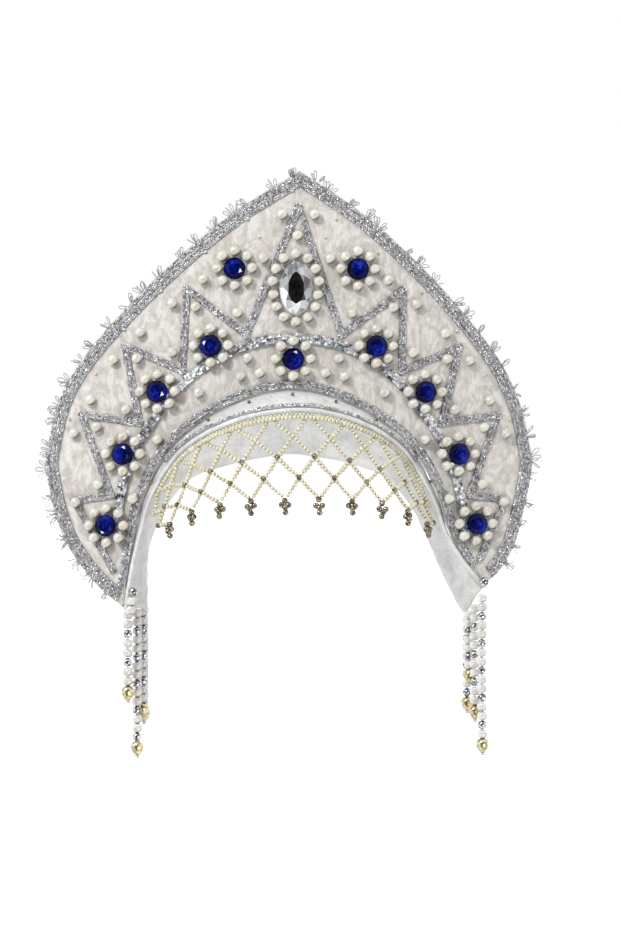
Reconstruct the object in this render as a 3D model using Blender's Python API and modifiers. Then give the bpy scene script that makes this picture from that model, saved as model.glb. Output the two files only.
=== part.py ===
"""Kokoshnik headdress: a pointed crest with braid, stones and pearls on a satin head band.

The crest is drawn flat, u across and w up from the top of its inner arch, and then bent back
towards its sides. A lift is measured forward from the crest's front face. The front looks along -Y,
and the origin is where the band's underside rests on top of the head.
"""

import math

import bmesh
import bpy
from mathutils import Matrix, Vector

# Crest, in metres
CREST_HALF_WIDTH = 0.1327
CREST_RISE = 0.1167
CREST_DROP = 0.1116
CREST_THICKNESS = 0.003
TIP_LEAN_START = 0.55
TIP_LEAN_ACROSS = 0.0078
TIP_LEAN_UP = 0.006
TOP_LEAN = 0.0042
BEND_RADIUS = 0.42
BEND_FACETS = 4
SEAT_GAP = 0.0003
SINK = 0.0002

# Braids
EDGE_BRAID_WIDTH = 0.007
EDGE_TIP_SPACE = EDGE_BRAID_WIDTH * 0.85
INNER_BRAID_WIDTH = 0.0045
ARC_WIDTH = 0.005
ZIGZAG_WIDTH = 0.004
BAND_BRAID_WIDTH = 0.005
ARC_THICKNESS = 0.0016
BRAID_THICKNESS = 0.0011
ZIGZAG_THICKNESS = 0.0006
BRAID_MARGIN = 0.0002

# Pearls and stones
PEARL_RADIUS = 0.003
PEARL_HEIGHT = 0.0045
PEARL_SIDES = 10
STONE_RADIUS = 0.006
STONE_HEIGHT = 0.004
STONE_SIDES = 10
PEARL_RING_RADIUS = 0.0093
PEARLS_A_RING = 8
DROP_HALF_WIDTH = 0.0091
DROP_HALF_HEIGHT = 0.0146
DROP_HEIGHT = 0.0055
DROP_RING_GAP = 0.0006
DROP_RING_PEARLS = 14
DROP_SIDES = 14

# Head band
BAND_THICKNESS = 0.002
BAND_REAR_REACH = 0.055
BAND_REAR_INSET = 0.033
BAND_FRONT_REACH = 0.035
BAND_FRONT_INSET = 0.0115
BAND_LIP = 0.0015
BAND_FOOT = 0.0012
BAND_REAR_DROP = 0.0038
BROW_RADIUS = 0.087

# Forehead net
NET_COLUMNS = 10
NET_ROWS = 4
NET_WIRE = 0.0018
NET_HEIGHT = 0.0435
NET_END_DROP = 0.0185
NET_SPREAD = math.radians(60.0)
NET_ARCH_SHARE = 0.66
NET_FOOT_SHARE = 1.01
NET_SWAY = 0.004
NET_DROP_RADIUS = 0.0038

# Strings of beads
STRAND_RADIUS = 0.00275
STRAND_END_RADIUS = 0.0036

# Each row is a point of the crest's outline: its share of the half width, and its share of the rise
# above the inner arch's top or, below zero, of the drop under it.
OUTER_EDGE = (
    (0.0, 1.0),
    (0.233, 0.832),
    (0.415, 0.668),
    (0.632, 0.434),
    (0.839, 0.166),
    (0.943, -0.043),
    (0.989, -0.251),
    (1.0, -0.403),
    (0.934, -0.713),
    (0.835, -0.901),
    (0.740, -1.0),
)
INNER_EDGE = (
    (0.0, 0.0),
    (0.182, -0.043),
    (0.361, -0.150),
    (0.503, -0.299),
    (0.598, -0.506),
    (0.638, -0.675),
    (0.686, -0.851),
    (0.740, -1.0),
)
ARC_LINE = (
    (0.0, 0.233),
    (0.215, 0.189),
    (0.405, 0.060),
    (0.540, -0.116),
    (0.641, -0.323),
    (0.690, -0.506),
    (0.712, -0.700),
)

# The zigzag's corners from the top down: shares of the half width and of the rise or drop, and
# whether the corner is a foot, which stands just clear of the sequin arc.
ZIGZAG_CORNERS = (
    (0.0, 0.835, False),
    (0.192, 0.246, True),
    (0.439, 0.459, False),
    (0.443, 0.080, True),
    (0.682, 0.198, False),
    (0.615, -0.165, True),
    (0.854, -0.123, False),
    (0.730, -0.515, True),
    (0.884, -0.538, False),
    (0.750, -0.851, False),
)

# Blue stones on the right half, from the top of the arch down: shares as above.
STONES = (
    (0.0, 0.136),
    (0.249, 0.551),
    (0.335, 0.196),
    (0.543, -0.014),
    (0.683, -0.314),
    (0.754, -0.656),
)
DROP_PLACE = (0.0, 0.461)

# Single pearls on the right half and on the middle line: shares as above.
SINGLE_PEARLS = (
    (0.0, 0.701),
    (0.065, 0.798),
    (0.134, 0.596),
    (0.375, 0.500),
    (0.495, 0.391),
    (0.404, 0.374),
    (0.231, 0.346),
    (0.622, 0.258),
    (0.488, 0.166),
    (0.631, 0.138),
    (0.727, 0.134),
    (0.817, -0.053),
    (0.669, -0.101),
    (0.794, -0.185),
    (0.885, -0.214),
    (0.185, 0.138),
    (0.210, 0.056),
    (0.133, 0.071),
    (0.376, -0.020),
    (0.541, -0.248),
    (0.784, -0.462),
    (0.878, -0.549),
    (0.644, -0.532),
)

# The band from its top to its foot: share of the way along the half arch, then the shares of the
# front inset, the rear reach and the rear inset there.
BAND_STATIONS = (
    (0.0, 1.0, 1.0, 1.0),
    (0.2, 0.72, 1.0, 0.92),
    (0.35, 0.42, 1.0, 0.72),
    (0.5, 0.30, 0.98, 0.48),
    (0.65, 0.22, 0.93, 0.28),
    (0.8, 0.06, 0.80, 0.14),
    (0.92, 0.0, 0.60, 0.23),
    (1.0, 0.0, 0.38, 0.29),
)
# The rear part's section: the share of the rear reach, and the shares of the rear inset there at the
# arch's top and at the foot.
BAND_SECTION = ((0.5, 0.36, 0.95), (1.0, 1.0, 1.0))

# Strings of beads: number, side, share of the way back along the foot of the band, and length.
STRANDS = (
    (1, -1, 0.06, 0.0445),
    (2, -1, 0.37, 0.0755),
    (3, -1, 0.65, 0.0555),
    (4, -1, 0.96, 0.060),
    (5, 1, 0.06, 0.083),
    (6, 1, 0.37, 0.0595),
    (7, 1, 0.65, 0.036),
    (8, 1, 0.96, 0.049),
)

SEAT_RISE = SEAT_GAP + BAND_THICKNESS
FACET_WIDTH = CREST_HALF_WIDTH / BEND_FACETS
LINE_STEPS = 2


def clear_scene():
    for old in list(bpy.data.objects):
        bpy.data.objects.remove(old, do_unlink=True)


def collection(name):
    made = bpy.data.collections.new(name)
    bpy.context.scene.collection.children.link(made)
    return made


def material(name, colour, roughness, metallic=0.0):
    made = bpy.data.materials.new(name)
    made.use_nodes = True
    shader = made.node_tree.nodes["Principled BSDF"]
    shader.inputs["Base Color"].default_value = (*colour, 1.0)
    shader.inputs["Roughness"].default_value = roughness
    shader.inputs["Metallic"].default_value = metallic
    return made


def add_object(name, mesh, group, finish=None):
    made = bpy.data.objects.new(name, mesh)
    group.objects.link(made)
    if finish is not None:
        mesh.materials.clear()
        mesh.materials.append(finish)
    return made


def evaluated_mesh(source):
    """The object's mesh with its modifiers, in world space; the object itself is removed."""
    bpy.context.view_layer.update()
    graph = bpy.context.evaluated_depsgraph_get()
    mesh = bpy.data.meshes.new_from_object(source.evaluated_get(graph))
    mesh.transform(source.matrix_world)
    bpy.data.objects.remove(source, do_unlink=True)
    return mesh


def place(row):
    """A table row's point on the flat crest."""
    height = CREST_RISE if row[1] >= 0.0 else CREST_DROP
    return Vector((row[0] * CREST_HALF_WIDTH, row[1] * height))


def smooth_line(rows, pointed=False):
    """A Catmull-Rom curve through the rows' places: the right half of a line that comes to a
    point or runs on smoothly at the middle."""
    points = [place(row) for row in rows]
    before = points[0] * 2 - points[1] if pointed else Vector((-points[1].x, points[1].y))
    ends = [before] + points + [points[-1] * 2 - points[-2]]
    line = []
    for a, b, c, d in zip(ends, ends[1:], ends[2:], ends[3:]):
        for step in range(LINE_STEPS):
            t = step / LINE_STEPS
            spread = (c - a) * t + (a * 2 - b * 5 + c * 4 - d) * t * t
            line.append((b * 2 + spread + (b * 3 - a - c * 3 + d) * t**3) / 2)
    return line + [points[-1]]


def leaned(point):
    """The crest leans to the right: its top, and the lower tips, the left lower than the right."""
    start = TIP_LEAN_START * CREST_DROP
    share = max(-point.y - start, 0.0) / (CREST_DROP - start)
    rise = math.copysign(TIP_LEAN_UP, point.x)
    top = Vector((TOP_LEAN, 0.0)) * max(point.y, 0.0) / CREST_RISE
    return point + Vector((TIP_LEAN_ACROSS, rise)) * share**2 + top


def mirrored(half):
    """The whole line from the left end to the right one, from its right half."""
    return [leaned(Vector((-p.x, p.y))) for p in reversed(half[1:])] + [leaned(p) for p in half]


def corner_shift(before, at, after):
    """The mitred sideways shift at a point for a unit offset to the left of the line."""
    first = (at - before).normalized() if before is not None else None
    second = (after - at).normalized() if after is not None else None
    first = first or second
    second = second or first
    a = Vector((-first.y, first.x))
    b = Vector((-second.y, second.x))
    return (a + b) / (1.0 + a.dot(b))


def offset_line(line, distance):
    """The line moved to its left by a distance."""
    moved = []
    for i, point in enumerate(line):
        before = line[i - 1] if i else None
        after = line[i + 1] if i + 1 < len(line) else None
        moved.append(point + corner_shift(before, point, after) * distance)
    return moved


def lengths_along(line):
    total = [0.0]
    for a, b in zip(line, line[1:]):
        total.append(total[-1] + (b - a).length)
    return total


def point_at(line, distance):
    """The point at a distance along the line."""
    total = lengths_along(line)
    for i in range(len(line) - 1):
        if distance <= total[i + 1] or i == len(line) - 2:
            share = (distance - total[i]) / (total[i + 1] - total[i])
            return line[i].lerp(line[i + 1], min(max(share, 0.0), 1.0))


def trimmed(line, distance):
    """The line without a distance at each end."""
    total = lengths_along(line)
    inside = [p for p, at in zip(line, total) if distance < at < total[-1] - distance]
    return [point_at(line, distance)] + inside + [point_at(line, total[-1] - distance)]


def ribbon_outline(line, width):
    """The closed outline of a strip along a line; sharp corners are blunt on their outer side."""
    half = width / 2
    sides = ([], [])
    for i, point in enumerate(line):
        before = (point - line[i - 1]).normalized() if i else None
        after = (line[i + 1] - point).normalized() if i + 1 < len(line) else None
        before = before or after
        after = after or before
        turn = before.cross(after)
        for sign, side in ((1, sides[0]), (-1, sides[1])):
            a = Vector((-before.y, before.x)) * half * sign
            b = Vector((-after.y, after.x)) * half * sign
            if before.dot(after) < 0.5 and turn * sign < 0:
                blunt = half / 2
                side += [point + a + before * blunt, point + b - after * blunt]
            else:
                side.append(point + (a + b) / (1.0 + a.dot(b) / half**2))
    return sides[0] + sides[1][::-1]


def arc_sag(u):
    return BEND_RADIUS - math.sqrt(BEND_RADIUS**2 - u * u)


def sag(u):
    """How far back the bent crest lies at u: straight facets between points of a circle."""
    near = math.floor(abs(u) / FACET_WIDTH) * FACET_WIDTH
    share = (abs(u) - near) / FACET_WIDTH
    return arc_sag(near) * (1 - share) + arc_sag(near + FACET_WIDTH) * share


def facet_turn(u):
    """The turn about Z of the facet at u; none on the middle line."""
    if abs(u) < 1e-6:
        return 0.0
    near = math.floor(abs(u) / FACET_WIDTH) * FACET_WIDTH
    slope = (arc_sag(near + FACET_WIDTH) - arc_sag(near)) / FACET_WIDTH
    return math.copysign(math.atan(slope), u)


def bent(u, w, lift):
    return Vector((u, sag(u) - CREST_THICKNESS - lift, w + SEAT_RISE))


def plate(name, outline, thickness, base_lift, group, finish):
    """A flat outline of a thickness, cut along the facets' lines and bent with the crest."""
    curve = bpy.data.curves.new(name, "CURVE")
    curve.dimensions = "2D"
    curve.fill_mode = "BOTH"
    curve.extrude = thickness / 2
    spline = curve.splines.new("POLY")
    spline.points.add(len(outline) - 1)
    for target, (u, w) in zip(spline.points, outline):
        target.co = (u, w, 0.0, 1.0)
    spline.use_cyclic_u = True
    flat = bpy.data.objects.new(name + "_outline", curve)
    group.objects.link(flat)
    mesh = evaluated_mesh(flat)
    work = bmesh.new()
    work.from_mesh(mesh)
    bmesh.ops.remove_doubles(work, verts=work.verts, dist=1e-6)
    for k in range(-BEND_FACETS, BEND_FACETS + 1):
        everything = work.verts[:] + work.edges[:] + work.faces[:]
        bmesh.ops.bisect_plane(
            work,
            geom=everything,
            dist=1e-7,
            plane_co=(k * FACET_WIDTH, 0.0, 0.0),
            plane_no=(1.0, 0.0, 0.0),
        )
    for vertex in work.verts:
        u, w, across = vertex.co
        vertex.co = bent(u, w, base_lift + thickness / 2 + across)
    bmesh.ops.recalc_face_normals(work, faces=work.faces)
    work.to_mesh(mesh)
    work.free()
    return add_object(name, mesh, group, finish)


def turned(name, profile, sides, group):
    """A turned shape's mesh from its outer profile, top to bottom."""
    mesh = bpy.data.meshes.new(name)
    edges = [(i, i + 1) for i in range(len(profile) - 1)]
    mesh.from_pydata([(r, 0.0, z) for r, z in profile], edges, [])
    made = bpy.data.objects.new(name + "_profile", mesh)
    group.objects.link(made)
    screw = made.modifiers.new("turn", "SCREW")
    screw.steps = sides
    screw.render_steps = sides
    screw.use_merge_vertices = True
    screw.merge_threshold = 1e-5
    screw.use_smooth_shade = False
    return evaluated_mesh(made)


def seat_matrix(u, w, lift):
    """A piece's own +Z turned to face out of the crest at a point."""
    facing = Matrix.Rotation(facet_turn(u), 4, "Z") @ Matrix.Rotation(math.radians(90.0), 4, "X")
    return Matrix.Translation(bent(u, w, lift)) @ facing


def fuse(target, meshes, matrices, name, cutters):
    """Joins copies of a mesh to an object with a Boolean union."""
    work = bmesh.new()
    for mesh, matrix in zip(meshes, matrices):
        copy = mesh.copy()
        copy.transform(matrix)
        work.from_mesh(copy)
        bpy.data.meshes.remove(copy)
    joined = bpy.data.meshes.new(name)
    bmesh.ops.recalc_face_normals(work, faces=work.faces)
    work.to_mesh(joined)
    work.free()
    tool = add_object(name, joined, cutters)
    tool.hide_render = True
    tool.display_type = "WIRE"
    union = target.modifiers.new(name, "BOOLEAN")
    union.operation = "UNION"
    union.solver = "EXACT"
    union.use_self = True
    union.object = tool


def nearest_on(line, point):
    """The nearest point of a line, and the distance to it."""
    best = None
    for a, b in zip(line, line[1:]):
        along = b - a
        share = min(max((point - a).dot(along) / along.length_squared, 0.0), 1.0)
        spot = a + along * share
        if best is None or (point - spot).length < best[1]:
            best = (spot, (point - spot).length)
    return best


def braid_lines():
    """Each braid of the crest: its middle line, width and thickness, the highest first."""
    outer = mirrored(smooth_line(OUTER_EDGE, pointed=True))
    inner = mirrored(smooth_line(INNER_EDGE))
    arc = mirrored(smooth_line(ARC_LINE))
    edge = offset_line(outer, -(EDGE_BRAID_WIDTH / 2 + BRAID_MARGIN))
    rim = offset_line(inner, INNER_BRAID_WIDTH / 2 + BRAID_MARGIN)
    foot_distance = ARC_WIDTH / 2 + 2 * SEAT_GAP + ZIGZAG_WIDTH * 0.56
    half = []
    for row in ZIGZAG_CORNERS:
        corner = place(row)
        if row[2]:
            spot, distance = nearest_on(arc, corner)
            corner = spot + (corner - spot) * (foot_distance / distance)
        half.append(corner)
    tip_space = EDGE_BRAID_WIDTH + INNER_BRAID_WIDTH
    return {
        "sequin_arc": (arc, ARC_WIDTH, ARC_THICKNESS),
        "edge_braid": (trimmed(edge, EDGE_TIP_SPACE), EDGE_BRAID_WIDTH, BRAID_THICKNESS),
        "inner_braid": (trimmed(rim, tip_space), INNER_BRAID_WIDTH, BRAID_THICKNESS),
        "zigzag_braid": (mirrored(half), ZIGZAG_WIDTH, ZIGZAG_THICKNESS),
    }


def settled(point, radius, braids):
    """Where a round piece stands, and what it stands on.

    A piece that laps over a braid stands on it. One that only just reaches a braid is moved clear.
    """
    for name, (line, width, thickness) in braids.items():
        spot, distance = nearest_on(line, point)
        reach = width / 2 + radius
        if distance < reach - 2 * SINK:
            return point, name, SEAT_GAP + thickness
        if distance < reach + SEAT_GAP:
            point = point + (point - spot) * ((reach + SEAT_GAP) / distance - 1.0)
    return point, "crest_panel", 0.0


def rest_lift(point, radius, braids):
    """How high a loose round piece lies: on the highest braid that it reaches, or on the crest."""
    lift = 0.0
    for line, width, thickness in braids.values():
        if nearest_on(line, point)[1] < width / 2 + radius + SEAT_GAP:
            lift = max(lift, SEAT_GAP + thickness)
    return lift + SEAT_GAP


def both_sides(rows):
    """The rows' places, with a mirror image of each that is off the middle line."""
    for row in rows:
        spot = place(row)
        yield leaned(spot)
        if row[0] > 0.0:
            yield leaned(Vector((-spot.x, spot.y)))


def ring_points(centre, half_width, half_height, count):
    """Points spread evenly by length round an ellipse."""
    fine = 240
    round_it = [
        centre + Vector((half_width * math.sin(a), half_height * math.cos(a)))
        for a in (2 * math.pi * k / fine for k in range(fine + 1))
    ]
    length = lengths_along(round_it)[-1]
    return [point_at(round_it, length * k / count) for k in range(count)]


def pearl_places():
    spots = list(both_sides(SINGLE_PEARLS))
    for centre in both_sides(STONES):
        spots += ring_points(centre, PEARL_RING_RADIUS, PEARL_RING_RADIUS, PEARLS_A_RING)
    around = PEARL_RADIUS + DROP_RING_GAP
    spots += ring_points(
        leaned(place(DROP_PLACE)), DROP_HALF_WIDTH + around, DROP_HALF_HEIGHT + around, DROP_RING_PEARLS
    )
    return spots


def build_crest(group, cutters, looks):
    """The panel, the four braids on it, and the pearls fused to whichever they stand on."""
    outer = mirrored(smooth_line(OUTER_EDGE, pointed=True))
    inner = mirrored(smooth_line(INNER_EDGE))
    outline = outer + inner[-2:0:-1]
    made = {
        "crest_panel": plate(
            "crest_panel", outline, CREST_THICKNESS, -CREST_THICKNESS, group, looks["satin"]
        )
    }
    braids = braid_lines()
    for name, (line, width, thickness) in braids.items():
        made[name] = plate(
            name, ribbon_outline(line, width), thickness, SEAT_GAP, group, looks[name]
        )
    profile = [
        (0.0, PEARL_HEIGHT),
        (PEARL_RADIUS * 0.8, PEARL_HEIGHT * 0.7),
        (PEARL_RADIUS, -SINK),
        (0.0, -SINK),
    ]
    pearl = turned("pearl", profile, PEARL_SIDES, cutters)
    seats = {}
    for spot in pearl_places():
        point, carrier, lift = settled(spot, PEARL_RADIUS, braids)
        seats.setdefault(carrier, []).append(seat_matrix(point.x, point.y, lift))
    for carrier, matrices in seats.items():
        fuse(made[carrier], [pearl] * len(matrices), matrices, carrier + "_pearls", cutters)
    return braids


def build_stones(group, cutters, looks, braids):
    """Round stones: a setting's wall, a crown of facets and a table."""
    profile = [
        (0.0, STONE_HEIGHT),
        (STONE_RADIUS * 0.55, STONE_HEIGHT),
        (STONE_RADIUS, STONE_HEIGHT * 0.4),
        (STONE_RADIUS, 0.0),
        (0.0, 0.0),
    ]
    stone = turned("blue_stone", profile, STONE_SIDES, cutters)
    for number, spot in enumerate(both_sides(STONES), 1):
        lift = rest_lift(spot, STONE_RADIUS, braids)
        made = add_object(f"blue_stone_{number}", stone.copy(), group, looks["blue"])
        made.matrix_world = seat_matrix(spot.x, spot.y, lift)


def pear_section(share, narrowing):
    """One level of the drop stone: a round foot drawn in to a point at the top."""
    section = []
    for k in range(DROP_SIDES):
        a = 2 * math.pi * k / DROP_SIDES
        narrow = 1.0 - narrowing * max(math.cos(a), 0.0) ** 2
        u = DROP_HALF_WIDTH * share * math.sin(a) * narrow
        section.append((u, DROP_HALF_HEIGHT * share * math.cos(a)))
    return section


def build_drop_stone(group, looks):
    """The clear drop: its setting's wall, a girdle, a crown and a long table, as a loft."""
    levels = (
        (1.0, 0.0),
        (1.0, DROP_HEIGHT * 0.38),
        (0.9, DROP_HEIGHT * 0.5),
        (0.55, DROP_HEIGHT),
    )
    work = bmesh.new()
    rings = []
    for share, height in levels:
        ring = [work.verts.new((u, w, height)) for u, w in pear_section(share, 0.35)]
        rings.append(ring)
    for low, high in zip(rings, rings[1:]):
        for k in range(DROP_SIDES):
            n = (k + 1) % DROP_SIDES
            work.faces.new((low[k], low[n], high[n], high[k]))
    work.faces.new(rings[0][::-1])
    work.faces.new(rings[-1])
    bmesh.ops.recalc_face_normals(work, faces=work.faces)
    mesh = bpy.data.meshes.new("drop_stone")
    work.to_mesh(mesh)
    work.free()
    made = add_object("drop_stone", mesh, group, looks["crystal"])
    spot = leaned(place(DROP_PLACE))
    made.matrix_world = seat_matrix(spot.x, spot.y, SEAT_GAP)


def station_values(share):
    """The band's front inset, rear reach and rear inset at a share of the half arch."""
    for low, high in zip(BAND_STATIONS, BAND_STATIONS[1:]):
        if share <= high[0] + 1e-9:
            t = (share - low[0]) / (high[0] - low[0])
            front, reach, inset = (a + (b - a) * t for a, b in zip(low[1:], high[1:]))
            return front * BAND_FRONT_INSET, reach * BAND_REAR_REACH, inset * BAND_REAR_INSET
    raise ValueError("share past the foot of the band")


def brow_depth(x):
    """How far back the front edge lies at x: the plan of a forehead."""
    inside = max(BROW_RADIUS**2 - x * x, 0.0)
    return BROW_RADIUS - BAND_FRONT_REACH - math.sqrt(inside)


class Band:
    """The head band's middle surface, given at stations along the arch."""

    def __init__(self):
        half = smooth_line(INNER_EDGE)
        foot = half[-1] + (half[-1] - half[-2]).normalized() * BAND_FOOT
        half.append(foot)
        self.line = mirrored(half)
        total = lengths_along(self.line)
        middle = total[-1] / 2
        self.shares = [abs(at - middle) / middle for at in total]
        level = half[:0:-1] + half
        self.drops = [
            p.y - flat.y + BAND_REAR_DROP * share**4
            for p, flat, share in zip(self.line, level, self.shares)
        ]
        self.inward = [
            corner_shift(
                self.line[i - 1] if i else None,
                point,
                self.line[i + 1] if i + 1 < len(self.line) else None,
            )
            * -1.0
            for i, point in enumerate(self.line)
        ]

    def front_depth(self, i):
        """The front edge's depth at a station: the brow's plan, or a short lip past the crest."""
        u = self.line[i].x
        return min(brow_depth(u), sag(u) - CREST_THICKNESS - BAND_LIP)

    def at(self, i, inset, depth, lowered=0.0):
        """A point of station i, inside the crest's edge by an inset, at a depth.

        The rear edge, lowered by the whole of its drop, doesn't follow the lean up or down.
        """
        point = self.line[i] + self.inward[i] * (SEAT_GAP + BAND_THICKNESS / 2 + inset)
        return Vector((point.x, depth, point.y - self.drops[i] * lowered + SEAT_RISE))

    def strip_slope(self, i):
        front = station_values(self.shares[i])[0]
        run = sag(self.line[i].x) - self.front_depth(i)
        return front, run

    def row(self, i):
        """The section at station i, from the front edge to the rear edge."""
        front, reach, inset = station_values(self.shares[i])
        back = sag(self.line[i].x)
        points = [self.at(i, front, self.front_depth(i)), self.at(i, 0.0, back)]
        for along, above, below in BAND_SECTION:
            across = above + (below - above) * self.shares[i]
            points.append(self.at(i, inset * across, back + reach * along, along))
        return points


def sheet(name, rows, thickness, group, finish):
    """A wall of a thickness about a grid of points."""
    count = len(rows[0])
    vertices = [point for row in rows for point in row]
    faces = []
    for i in range(len(rows) - 1):
        for k in range(count - 1):
            a = i * count + k
            faces.append((a, a + 1, a + 1 + count, a + count))
    mesh = bpy.data.meshes.new(name)
    mesh.from_pydata(vertices, [], faces)
    made = add_object(name, mesh, group, finish)
    wall = made.modifiers.new("wall", "SOLIDIFY")
    wall.thickness = thickness
    wall.offset = 0.0
    wall.use_even_offset = True
    wall.use_rim = True
    return made


def build_band(band, group, looks):
    rows = [band.row(i) for i in range(len(band.line))]
    return sheet("head_band", rows, BAND_THICKNESS, group, looks["band"])


def build_band_braid(band, group, looks):
    """The braid on the front strip, along its front edge, where the strip is wide enough."""
    rise = BAND_THICKNESS / 2 + SEAT_GAP + BRAID_THICKNESS / 2
    rows = []
    for i in range(len(band.line)):
        front, run = band.strip_slope(i)
        length = math.hypot(front, run)
        if length < BAND_BRAID_WIDTH + BRAID_THICKNESS:
            continue
        edge = band.front_depth(i)
        up = rise * length / run
        along = BAND_BRAID_WIDTH / length
        rows.append(
            [
                band.at(i, front - up, edge),
                band.at(i, front * (1 - along) - up, edge + run * along),
            ]
        )
    return sheet("band_braid", rows, BRAID_THICKNESS, group, looks["edge_braid"])


def net_top(band, share):
    """A point of the net's top string, under the band's front edge; share runs from -1 to 1."""
    under = BAND_THICKNESS / 2 + 2 * SEAT_GAP + NET_WIRE / 2
    edge = []
    for i in range(len(band.line)):
        if band.shares[i] <= NET_ARCH_SHARE:
            front = station_values(band.shares[i])[0]
            edge.append(band.at(i, front + under, band.front_depth(i) + NET_WIRE / 2))
    total = lengths_along(edge)[-1]
    return point_at(edge, total * (share + 1) / 2)


def net_point(band, share, row):
    """A crossing of the net: between its top string and a curve round the brow."""
    top = net_top(band, share)
    middle = net_top(band, 0.0)
    half_width = net_top(band, 1.0).x * NET_FOOT_SHARE
    x = half_width * math.sin(NET_SPREAD * share) / math.sin(NET_SPREAD)
    depth = middle.y + brow_depth(x) - brow_depth(0.0)
    fall = NET_HEIGHT + NET_END_DROP * abs(share) ** 3
    return top.lerp(Vector((x + NET_SWAY, depth, middle.z - fall)), row / NET_ROWS)


def build_net(band, group, cutters, looks):
    """Diamonds of beads on a thread, hung from a top string, with a drop at each lower point."""
    keys = {}
    points = []
    for row in range(NET_ROWS + 1):
        half_step = (NET_ROWS - row + 1) % 2
        for column in range(NET_COLUMNS + 1 - half_step):
            share = (column + half_step / 2) / NET_COLUMNS * 2.0 - 1.0
            keys[row, 2 * column + half_step] = len(points)
            points.append(net_point(band, share, row))
    faces = []
    for column in range(1, 2 * NET_COLUMNS):
        corners = ((0, column - 1), (1, column), (0, column + 1))
        if all(corner in keys for corner in corners):
            faces.append(tuple(keys[corner] for corner in corners))
    for row in range(1, NET_ROWS):
        for column in range(1, 2 * NET_COLUMNS):
            corners = ((row - 1, column), (row, column - 1), (row + 1, column), (row, column + 1))
            if all(corner in keys for corner in corners):
                faces.append(tuple(keys[corner] for corner in corners))
    mesh = bpy.data.meshes.new("forehead_net")
    mesh.from_pydata(points, [], faces)
    made = add_object("forehead_net", mesh, group, looks["pearl"])
    bars = made.modifiers.new("bars", "WIREFRAME")
    bars.thickness = NET_WIRE
    bars.use_replace = True
    bars.use_boundary = True
    bars.use_even_offset = False
    bars.offset = 0.0
    bead = turned(
        "net_drop",
        [
            (0.0, 0.0),
            (NET_DROP_RADIUS * 0.85, -NET_DROP_RADIUS * 0.7),
            (NET_DROP_RADIUS * 0.85, -NET_DROP_RADIUS * 1.5),
            (0.0, -NET_DROP_RADIUS * 2.3),
        ],
        PEARL_SIDES,
        cutters,
    )
    matrices = [
        Matrix.Translation(points[keys[NET_ROWS, 2 * column + 1]] + Vector((0, 0, NET_WIRE / 3)))
        for column in range(NET_COLUMNS)
    ]
    fuse(made, [bead] * NET_COLUMNS, matrices, "forehead_net_drops", cutters)
    return made


def build_strands(band, group, cutters, looks):
    """The strings of beads: a plain round string each, with the bigger bead at its lower end."""
    end = turned(
        "strand_end",
        [
            (0.0, STRAND_END_RADIUS),
            (STRAND_END_RADIUS * 0.87, STRAND_END_RADIUS * 0.5),
            (STRAND_END_RADIUS * 0.87, -STRAND_END_RADIUS * 0.5),
            (0.0, -STRAND_END_RADIUS),
        ],
        PEARL_SIDES,
        cutters,
    )
    for number, side, share, length in STRANDS:
        station = 0 if side < 0 else len(band.line) - 1
        foot = band.row(station)
        lower_edge = foot[1:]
        along = lengths_along(lower_edge)[-1] * share
        top = point_at(lower_edge, along)
        beside = [point_at(lower_edge, along + step).z for step in (-STRAND_RADIUS, STRAND_RADIUS)]
        rim = abs(band.inward[station].y) * BAND_THICKNESS / 2
        top.z = min(beside) - rim - SEAT_GAP
        bottom = top - Vector((0.0, 0.0, length))
        curve = bpy.data.curves.new(f"bead_strand_{number}", "CURVE")
        curve.dimensions = "3D"
        curve.bevel_depth = STRAND_RADIUS
        curve.bevel_resolution = 2
        curve.use_fill_caps = True
        spline = curve.splines.new("POLY")
        spline.points.add(1)
        spline.points[0].co = (*top, 1.0)
        spline.points[1].co = (*bottom, 1.0)
        tube = bpy.data.objects.new(f"bead_string_{number}", curve)
        group.objects.link(tube)
        mesh = evaluated_mesh(tube)
        work = bmesh.new()
        work.from_mesh(mesh)
        bmesh.ops.remove_doubles(work, verts=work.verts, dist=1e-6)
        bmesh.ops.recalc_face_normals(work, faces=work.faces)
        work.to_mesh(mesh)
        work.free()
        made = add_object(f"bead_strand_{number}", mesh, group, looks["pearl"])
        fuse(made, [end], [Matrix.Translation(bottom)], f"bead_strand_{number}_end", cutters)


def main():
    clear_scene()
    group = collection("kokoshnik")
    cutters = collection("kokoshnik_cutters")
    silver = material("silver_braid", (0.55, 0.56, 0.60), 0.4, 0.8)
    looks = {
        "satin": material("cream_satin", (0.80, 0.78, 0.73), 0.45),
        "band": material("white_satin", (0.86, 0.86, 0.86), 0.4),
        "edge_braid": silver,
        "inner_braid": silver,
        "zigzag_braid": silver,
        "sequin_arc": material("sequins", (0.6, 0.65, 0.72), 0.25, 0.9),
        "blue": material("blue_glass", (0.01, 0.03, 0.45), 0.05),
        "crystal": material("clear_glass", (0.85, 0.87, 0.9), 0.03),
        "pearl": material("pearl", (0.86, 0.83, 0.76), 0.25),
    }
    braids = build_crest(group, cutters, looks)
    build_stones(group, cutters, looks, braids)
    build_drop_stone(group, looks)
    band = Band()
    build_band(band, group, looks)
    build_band_braid(band, group, looks)
    build_net(band, group, cutters, looks)
    build_strands(band, group, cutters, looks)


main()
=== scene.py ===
"""Kokoshnik headdress dressed for rendering: satin crest, braids, pearls, cut stones and beads.

The tables and the line functions repeat those of the part's source, in metres, with finer steps.
The crest is drawn flat, u across and w up, and then bent back towards its sides. A lift is
measured forward from the crest's front face.
"""

import math

import bpy
import numpy as np
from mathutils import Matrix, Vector, geometry, kdtree, noise


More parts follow.
